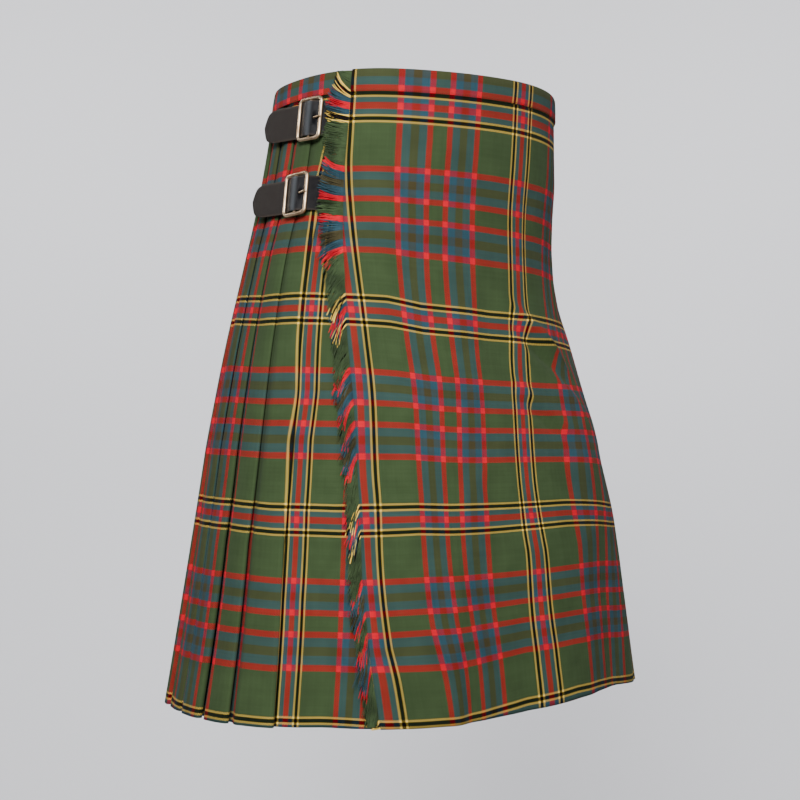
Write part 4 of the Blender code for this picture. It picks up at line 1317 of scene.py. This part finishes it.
def count_setting(name, words, default, low, high):
    """A whole number that a user may change."""
    return bpy.props.IntProperty(name=name, description=words, default=default, min=low, max=high)


def length_setting(name, words, default, low, high):
    """A length that a user may change."""
    limits = {"min": low, "max": high}
    return bpy.props.FloatProperty(name=name, description=words, default=default, unit="LENGTH", **limits)


def yarn_colour(name):
    """A yarn's colour that a user may change."""
    return bpy.props.FloatVectorProperty(
        name=name.capitalize() + " yarn",
        description="Colour of the tartan's " + name + " threads",
        default=YARNS[name],
        min=0.0,
        max=1.0,
        subtype="COLOR",
    )


class KiltCloth(bpy.types.PropertyGroup):
    """The sizes and colours that a user may change"""

    thickness: length_setting("Thickness", "Thickness of the worsted", 0.0010, 0.0005, 0.002)
    rows: count_setting("Rows", "Rows of faces down the cloth", 150, 20, 300)
    face_columns: count_setting("Columns on a pleat", "Columns of faces on a pleat's visible face", 12, 4, 30)
    apron_columns: count_setting(
        "Columns on an apron", "Columns of faces across the over-apron", 130, 20, 300
    )
    threads: count_setting("Fringe threads", "Threads down the whole fringe", YARN_COUNT, 100, 3000)
    thread_length: length_setting(
        "Fringe length", "Length of a fringe thread from its root", YARN_LENGTH, 0.005, 0.05
    )
    green: yarn_colour("green")
    blue: yarn_colour("blue")
    red: yarn_colour("red")
    brown: yarn_colour("brown")
    yellow: yarn_colour("yellow")
    black: yarn_colour("black")


def settings():
    """The garment's settings."""
    return bpy.context.scene.kilt_cloth


def cloth_drops():
    """The drops of the cloth's rows."""
    return np.linspace(0.0, LENGTH, settings().rows + 1)


def hand_over(piece, node):
    """Says which solid a piece replaces, if any, and the body that it rides on."""
    if node:
        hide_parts(node)
    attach(piece, "root")


# ------------------------ the pieces


class KILT_OT_aprons(bpy.types.Operator):
    """Make the over-apron and the under-apron"""

    bl_idname = "kilt.aprons"
    bl_label = "Aprons"

    def execute(self, context):
        drops = cloth_drops()
        over = sheet_from_rows("over_apron_cloth", drops, over_apron_row)
        under = sheet_from_rows("under_apron_cloth", drops[::3], under_apron_row)
        for piece, node in ((over, "over_apron"), (under, "under_apron")):
            hand_over(piece, node)
        return {"FINISHED"}


class KILT_OT_pleats(bpy.types.Operator):
    """Make the pleated back and sides in two stretches"""

    bl_idname = "kilt.pleats"
    bl_label = "Pleats"

    def execute(self, context):
        columns = settings().face_columns
        middle = PLEATS // 2
        for node, first, last in (("pleats_right", 0, middle), ("pleats_left", middle, PLEATS)):
            piece = sheet_from_rows(
                node + "_cloth", cloth_drops(), lambda drop: pleat_row(first, last, drop, columns)
            )
            hand_over(piece, node)
        return {"FINISHED"}


class KILT_OT_waistband(bpy.types.Operator):
    """Make the waistband's three stretches"""

    bl_idname = "kilt.waistband"
    bl_label = "Waistband"

    def execute(self, context):
        def over_ends(drop):
            return left_fold(drop) - CLOTH / 2, apron_edge(drop)

        def over_inner(across, drop):
            return over_top(across, drop) - CLOTH

        def pleats_ends(drop):
            return UNDER_RIGHT + SEAM / 2, fold_across(PLEATS, drop) - CLOTH

        def under_ends(drop):
            return read(UNDER_LEFT, drop), UNDER_RIGHT - SEAM / 2

        def bare(across, drop):
            return np.zeros_like(across)

        def under_outer(across, drop):
            return np.full_like(across, CLOTH)

        behind_fringe = BAND_GREEN - WARP_REPEAT / 2
        stretches = (
            # piece, its ends, outer and inner face, across where its sett starts, columns
            ("waistband_over_apron", over_ends, over_top, over_inner, APRON_RED, 170),
            ("waistband_pleats", pleats_ends, pleats_top, bare, behind_fringe, 260),
            ("waistband_under_apron", under_ends, under_outer, bare, APRON_RED, 130),
        )
        for node, ends, outer_of, inner_of, phase, count in stretches:
            piece = make_band(node + "_cloth", ends, outer_of, inner_of, phase, count)
            stitches = make_band_stitches(node + "_stitches", ends, outer_of)
            hand_over(piece, node)
            hand_over(stitches, None)
        return {"FINISHED"}


class KILT_OT_fringe(bpy.types.Operator):
    """Make the fringe on the right edge of the over-apron"""

    bl_idname = "kilt.fringe"
    bl_label = "Fringe"

    def execute(self, context):
        hand_over(make_fringe(), "fringe")
        return {"FINISHED"}


class KILT_OT_straps(bpy.types.Operator):
    """Make the straps and the tabs that hold their buckles"""

    bl_idname = "kilt.straps"
    bl_label = "Straps"

    def execute(self, context):
        tab_path = [(along, FRAME_OUT - TAB_THICK / 2 - fall, 1.0, flat) for along, fall, flat in TAB_PATH]
        for name, centre, drop in STRAPS:
            root = apron_edge(drop) - STRAP_HIDDEN - centre
            rise = fold_across(0, drop - STRAP_WIDTH / 2) - centre
            path = strap_stations(root, rise)
            strap = make_leather("strap_of_" + name, centre, drop, path, STRAP_WIDTH, STRAP_THICK, True)
            cut_hole(strap, centre, drop)
            tab = make_leather("tab_of_" + name, centre, drop, tab_path, TAB_WIDTH, TAB_THICK, False)
            hand_over(strap, "strap_" + name)
            hand_over(tab, "tab_" + name)
        return {"FINISHED"}


class KILT_OT_buckles(bpy.types.Operator):
    """Make the buckles and their prongs"""

    bl_idname = "kilt.buckles"
    bl_label = "Buckles"

    def execute(self, context):
        for name, centre, drop in STRAPS:
            buckle, prong = make_buckle(name, centre, drop), make_prong(name, centre, drop)
            hand_over(buckle, "buckle_" + name)
            hand_over(prong, "prong_" + name)
        return {"FINISHED"}


class KILT_OT_stage(bpy.types.Operator):
    """Make the backdrop, the lights and the camera"""

    bl_idname = "kilt.stage"
    bl_label = "Stage"

    def execute(self, context):
        view = radians(CAMERA_TURN)
        ahead = Vector((sin(view), cos(view), 0))
        side = Vector((cos(view), -sin(view), 0))
        up = Vector((0, 0, 1))
        # a floor that sweeps up into a wall, square to the camera
        profile = [(FLOOR_NEAR, FLOOR), (WALL - SWEEP, FLOOR)]
        for turn in np.linspace(0.15, pi / 2, 12):
            profile.append((WALL - SWEEP + SWEEP * sin(turn), FLOOR + SWEEP - SWEEP * cos(turn)))
        profile.append((WALL, WALL_TOP))
        rows = []
        for far, height in profile:
            rows.append([ahead * far + up * height + side * wide for wide in (BACKDROP, -BACKDROP)])
        maps = [[(0, 0), (1, 0)] for _ in rows]
        paper, _, _ = new_finish("backdrop paper", Base_Color=PAPER, Roughness=1.0, Specular_IOR_Level=0.0)
        grid_mesh("backdrop", rows[::-1], maps, paper)

        for name, far, sideways, height, aim_far, aim_side, aim_height, size, power in LIGHTS:
            data = bpy.data.lights.new(name, "AREA")
            data.energy = power
            data.shape = "DISK"
            data.size = size
            lamp = new_object(name, data)
            lamp.visible_camera = False
            lamp.location = ahead * far + side * sideways + up * height
            aim = ahead * aim_far + side * aim_side + up * aim_height - lamp.location
            lamp.rotation_euler = aim.to_track_quat("-Z", "Y").to_euler()

        world = bpy.data.worlds.new("studio")
        world.use_nodes = True
        sky = world.node_tree.nodes["Background"].inputs
        sky["Color"].default_value = SKY
        sky["Strength"].default_value = SKY_STRENGTH
        bpy.context.scene.world = world

        data = bpy.data.cameras.new("camera")
        data.lens = CAMERA_LENS
        data.sensor_width = SENSOR
        camera = new_object("camera", data)
        camera.location = CAMERA_ASIDE - ahead * CAMERA_FAR
        level = ahead * cos(CAMERA_YAW) + side * sin(CAMERA_YAW)
        aim = level * cos(CAMERA_PITCH) + up * sin(CAMERA_PITCH)
        camera.rotation_euler = aim.to_track_quat("-Z", "Y").to_euler()
        bpy.context.scene.camera = camera
        return {"FINISHED"}


OPERATORS = (
    KILT_OT_stage,
    KILT_OT_aprons,
    KILT_OT_pleats,
    KILT_OT_waistband,
    KILT_OT_fringe,
    KILT_OT_straps,
    KILT_OT_buckles,
)


class KILT_PT_panel(bpy.types.Panel):
    """Lists the kilt's settings and pieces"""

    bl_idname = "KILT_PT_panel"
    bl_label = "Kilt"
    bl_space_type = "VIEW_3D"
    bl_region_type = "UI"
    bl_category = "Kilt"

    def draw(self, context):
        for name in KiltCloth.__annotations__:
            self.layout.prop(context.scene.kilt_cloth, name)
        for operator in OPERATORS:
            self.layout.operator(operator.bl_idname)


CLASSES = (KiltCloth, *OPERATORS, KILT_PT_panel)


def register():
    for item in CLASSES:
        bpy.utils.register_class(item)
    bpy.types.Scene.kilt_cloth = bpy.props.PointerProperty(type=KiltCloth)


def unregister():
    del bpy.types.Scene.kilt_cloth
    for item in reversed(CLASSES):
        bpy.utils.unregister_class(item)


def main():
    register()
    for operator in OPERATORS:
        family, name = operator.bl_idname.split(".")
        getattr(getattr(bpy.ops, family), name)()


if __name__ == "__main__":
    main()
